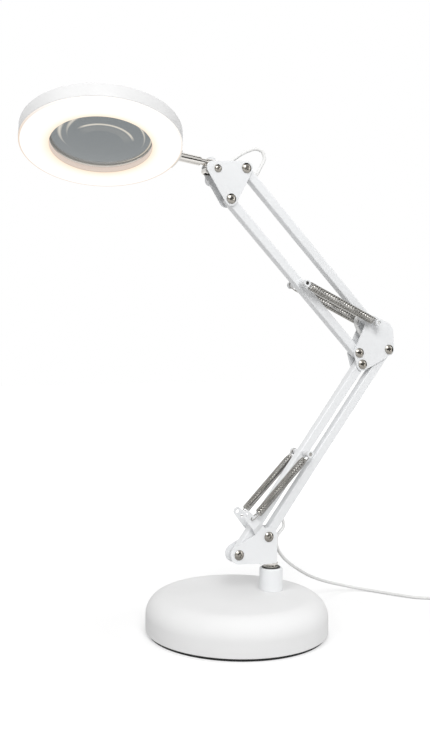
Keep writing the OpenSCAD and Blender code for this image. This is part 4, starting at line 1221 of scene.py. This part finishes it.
@dataclass
class Springs(Assembly):
    """The four close wound tension springs with their eyes."""

    wire: float = 1.1
    radius: float = 3.85
    offset: float = 14.5
    pitch: float = 1.55
    taper: float = 7.0
    neck: float = 0.72
    rod_radius: float = 2.0
    hook_clear: float = 0.3
    lead: float = 6.5
    lug_hook_radius: float = 3.8
    lug_hook_in: float = 1.5
    lug_hook_back: float = 3.0
    lug_lead: float = 2.0
    eye_held: float = 4.5
    lug_held: float = 8.0

    COIL_STEPS, WIRE_SIDES = 18, 8
    BESIDE, ACROSS, OVERLAP = 0.34, 0.94, 0.1
    BEND_AT, BEND_OUT = 0.55, 0.1

    def __post_init__(self) -> None:
        """Builds the tree that winds a spring."""
        self.tree = self._tree()

    @property
    def hook(self) -> float:
        """Radius of an eye that goes round a cross rod."""
        return self.rod_radius + self.hook_clear + self.wire / 2

    @property
    def lug_space(self) -> float:
        """Length from the helix to the lug's hole."""
        return self.lug_hook_radius + self.lug_hook_back + self.lug_lead

    def _tree(self) -> FormTree:
        """Builds a helix along Z that widens from its neck, joined to the eyes of the outline.

        Returns:
            The spring's tree.
        """
        tree = FormTree("wound_spring", Turns=50.0, Radius=0.00385, Start=0.0065, Length=0.07, Wire=0.00055,
                        Taper=0.007, Neck=0.72)
        helix = tree.add("GeometryNodeCurveSpiral", {
            "Resolution": self.COIL_STEPS, "Rotations": tree.given("Turns"),
            "Start Radius": tree.given("Radius"), "End Radius": tree.given("Radius"),
            "Height": tree.given("Length")})
        x, y, z = tree.split(tree.add("GeometryNodeInputPosition").outputs[0])
        share = z.eased(0.0, tree.given("Taper"), tree.given("Neck"), 1.0)
        body = tree.add("GeometryNodeSetPosition", {
            "Geometry": helix.outputs["Curve"],
            "Position": tree.joined(share * x, share * y, z + tree.given("Start"))})
        both = tree.add("GeometryNodeJoinGeometry", {"Geometry": [body.outputs["Geometry"], tree.line()]})
        return tree.close(tree.swept(both.outputs["Geometry"], tree.given("Wire"), self.WIRE_SIDES))

    def rod_eye(self, neck: float) -> list[Triple]:
        """Bends the eye round a cross rod, from its tip to the helix.

        Args:
            neck: Share of the full radius that the helix starts with.

        Returns:
            Points as (in the arm's plane, outwards, along the spring).
        """
        start = self.radius * neck
        return [(x, 0.0, z) for x, z in bow(self.hook, -30, -271)] + [
            ((self.hook + start) / 2 + self.BEND_OUT, 0.0, self.lead * self.BEND_AT),
            (start, 0.0, self.lead), (start * self.ACROSS, start * self.BESIDE, self.lead + self.OVERLAP)]

    def lug_eye(self, length: float) -> list[Triple]:
        """Bends the ring through the lug's hole, from the helix to its tip.

        Args:
            length: The spring's length from the rod to the hole.

        Returns:
            Points as (in the arm's plane, outwards, along the spring).
        """
        end = length - self.lug_space
        neck = [(self.radius * self.BESIDE, self.radius * self.ACROSS, end - self.OVERLAP),
                (0.0, self.radius, end)]
        return neck + [
            (0.0, y - self.lug_hook_in, length - self.lug_hook_back + z)
            for y, z in bow(self.lug_hook_radius, 90, -199)]

    def wind(self, name: str, start: Pair, end: Pair, side: int, to_lug: bool,
             bodies: tuple[str, str]) -> None:
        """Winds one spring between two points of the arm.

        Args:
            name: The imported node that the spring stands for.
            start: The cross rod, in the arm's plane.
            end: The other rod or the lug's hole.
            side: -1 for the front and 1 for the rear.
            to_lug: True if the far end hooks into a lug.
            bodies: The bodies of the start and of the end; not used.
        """
        near, far = Vector((start[0], 0.0, start[1])), Vector((end[0], 0.0, end[1]))
        length = (far - near).length
        u = (far - near).normalized()
        w = Vector((0.0, side, 0.0))
        place = Matrix((w.cross(u), w, u)).transposed().to_4x4()
        place.translation = (near + w * self.offset) * MM
        body = length - self.lead - (self.lug_space if to_lug else self.lead)
        turns = float(round(body / self.pitch)) + (0.25 if to_lug else 0.0)
        neck = self.neck if to_lug else 1.0
        eyes = [self.rod_eye(neck), self.lug_eye(length) if to_lug else
                [(x, y, length - z) for x, y, z in reversed(self.rod_eye(1.0))]]
        piece = self.tree.grow(name + "_wire", polyline(name, *eyes), place, SPRING_STEEL, Turns=turns,
                               Radius=self.radius * MM, Start=self.lead * MM, Length=body * MM,
                               Wire=self.wire / 2 * MM, Taper=self.taper * MM, Neck=neck)
        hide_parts(name)
        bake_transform(piece)
        LOG.info("wound %s, %.1f turns", name, turns)

    def build(self) -> None:
        """Winds all four springs."""
        for side, word in ((-1, "front"), (1, "rear")):
            self.wind("lower_spring_" + word, PLAN.lower_rod, PLAN.spring_hole, side, True,
                      ("lower_bar_body", "lower_bracket_body"))
            self.wind("upper_spring_" + word, PLAN.upper_rod, PLAN.elbow_back, side, False,
                      ("upper_bar_body", "elbow_body"))


# Base, arm and head

@dataclass
class WeightedBase(Assembly):
    """The round base with its post."""

    radius: float = 95.0
    height: float = 39.5
    shoulder: float = 21.0
    wall: float = 2.2
    pad: float = 3.0
    pad_edge: float = 0.6
    post_edge: float = 0.35

    def build(self) -> None:
        """Turns the cover and dresses what it hides."""
        inner, top = self.radius - self.wall, self.height - self.wall
        cover = lathe("base_cover_shell", [
            (0, self.height, 0), (self.radius, self.height, self.shoulder), (self.radius, self.pad, 0.7),
            (inner, self.pad, 0.4), (inner, top, self.shoulder - self.wall), (0, top, 0)],
            Matrix(), bends=20, steps=200)
        self.place(cover, BASE_WHITE, "base", "base_cover")
        self.break_edges(FOOT_BLACK, self.pad_edge, "foot_pad")
        self.break_edges(ARM_WHITE, self.post_edge, "post", steps=3)
        self.paint(WEIGHT_IRON, "base_weight")
        self.paint(SHEET_STEEL, "base_plate")
        self.paint(BRIGHT_STEEL, "base_fasteners")
        self.paint(BUSH_BLACK, "post_bush")


@dataclass
class Linkage(Assembly):
    """Brackets, bars, rods and fasteners of the double parallelogram arm."""

    sheet_edge: float = 0.32
    bar_edge: float = 0.2
    metal_edge: float = 0.22
    rod_edge: float = 0.3
    cap_edge: float = 0.5
    knob_edge: float = 0.9

    def build(self) -> None:
        """Dresses the arm from the swivel up to the head bracket."""
        self.break_edges(ARM_WHITE, self.sheet_edge, "lower_bracket", "elbow_plate_front",
                         "elbow_plate_rear", "head_plate_front", "head_plate_rear")
        self.break_edges(ARM_WHITE, self.bar_edge, "lower_bar", "lower_link", "upper_bar", "upper_link")
        # The screws take the darker copy of the bright steel: painted shade.
        self.break_edges(PAINTED_SHADE_SCREW_STEEL, self.metal_edge, "lower_fasteners", "elbow_fasteners",
                         "head_plate_fasteners", "tilt_screw")
        self.break_edges(BRIGHT_STEEL, self.metal_edge, "swivel_pin")
        self.break_edges(SPRING_STEEL, self.metal_edge, "swivel_ring")
        self.break_edges(BRIGHT_STEEL, self.rod_edge, "lower_rod", "upper_rod")
        # The elbow rod takes the lighter copy of the bright steel: painted light in the caps' holes.
        self.break_edges(PAINTED_LIGHT_ROD_STEEL, self.rod_edge, "elbow_rod")
        self.break_edges(CAP_WHITE, self.cap_edge, "lower_rod_caps", "elbow_rod_caps", "upper_rod_caps",
                         steps=3)
        self.break_edges(CAP_WHITE, self.knob_edge, "tilt_knob", steps=4)


@dataclass
class RingHead(Assembly):
    """The tilting head: rod, housing, glowing ring and lens."""

    radius: float = 80.5
    thickness: float = 16.5
    opening: float = 50.5
    wall: float = 1.8
    glass_seat: float = 52.0
    diffuser: float = 1.9
    rim_gap: float = 0.1
    ring_gap: float = 0.15
    glass_gap: float = 0.05
    sleeve_gap: float = 0.25
    lens_edge: float = 4.0
    lens_curve: float = 333.0
    ring_edge: float = 0.3
    metal_edge: float = 0.25

    def build(self) -> None:
        """Turns the housing, the diffuser and the lens, and dresses the metal."""
        axes = PLAN.head_axes()
        to_head = axes.inverted()
        low, high = -self.thickness / 2, self.thickness / 2
        rim, back = low + self.diffuser + self.rim_gap, low + self.diffuser
        seat, roof = self.glass_seat, high - self.wall
        outer, inner = self.radius - self.ring_gap, self.radius - self.wall
        sleeve = -self.lens_edge / 2 - self.sleeve_gap
        shell = HousingFinish("head_white_satin", "head_white", (0.71, 0.71, 0.71), 0.45, Grain.GLOSS,
                              blotch=0.01, to_head=to_head, opening=seat)
        glow = GlowFinish("diffuser_warm_glow", "diffuser_warm", (0.12, 0.11, 0.10), 0.5, to_head=to_head,
                          inner=self.opening, outer=outer)
        glass = LensFinish("lens_clear_glass", "lens_glass", (0.140, 0.151, 0.155), 0.0, coat=0.4,
                           to_head=to_head)
        housing = lathe("ring_housing", [
            (self.radius, rim, 0.35), (self.radius, high, 1.6), (seat, high, 0.6), (seat, rim, 0.3),
            (seat + self.wall, rim, 0.3), (seat + self.wall, roof, 0.4), (inner, roof, 0.8),
            (inner, rim, 0.3)], axes, ring=True, bends=5)
        self.place(housing, shell, "head_body", "head_housing")
        ring = lathe("ring_diffuser", [
            (self.opening, low, 0.35), (outer, low, 0.6), (outer, back, 0.2),
            (seat - self.glass_gap, back, 0), (seat - self.glass_gap, sleeve, 0.1),
            (self.opening, sleeve, 0.1)], axes, ring=True, bends=4)
        self.place(ring, glow, "head_body", "diffuser")
        self.place(lathe("magnifying_lens", self._lens_outline(), axes), glass, "head_body", "lens")
        self.break_edges(shell, self.ring_edge, "lens_ring")
        self.break_edges(BRIGHT_STEEL, self.metal_edge, "head_rod", "head_fasteners", "tilt_clevis",
                         steps=3)
        self.paint(BOARD_WHITE, "led_board")

    def _lens_outline(self, steps: int = 40) -> list[Triple]:
        """Draws the lens's section, from one curved face round its ground edge to the other.

        Args:
            steps: Steps along each face.

        Returns:
            Sharp corners, as the lathe takes them.
        """
        curve, rim = self.lens_curve, self.glass_seat - self.glass_gap
        centre = self.lens_edge / 2 - math.sqrt(curve ** 2 - rim ** 2)
        radii = [rim * k / steps for k in range(steps + 1)]
        face = [(radius, centre + math.sqrt(curve ** 2 - radius ** 2)) for radius in radii]
        return [(radius, height, 0) for radius, height in face] \
            + [(radius, -height, 0) for radius, height in reversed(face)]


def main() -> None:
    """Builds the camera, the cords, the lamp and the studio, in that order."""
    logging.basicConfig(level=logging.INFO, format="%(name)s: %(message)s")
    for spare in list(bpy.data.objects):
        bpy.data.objects.remove(spare)
    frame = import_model()
    nodes = frame["nodes"]
    PhotoCamera().build()
    cables = Cables()
    FeedCord(nodes, cables).build()
    ArmCables(nodes, cables).build()
    WeightedBase(nodes).build()
    Linkage(nodes).build()
    Springs(nodes).build()
    RingHead(nodes).build()
    Studio().build()


if __name__ == "__main__":
    main()
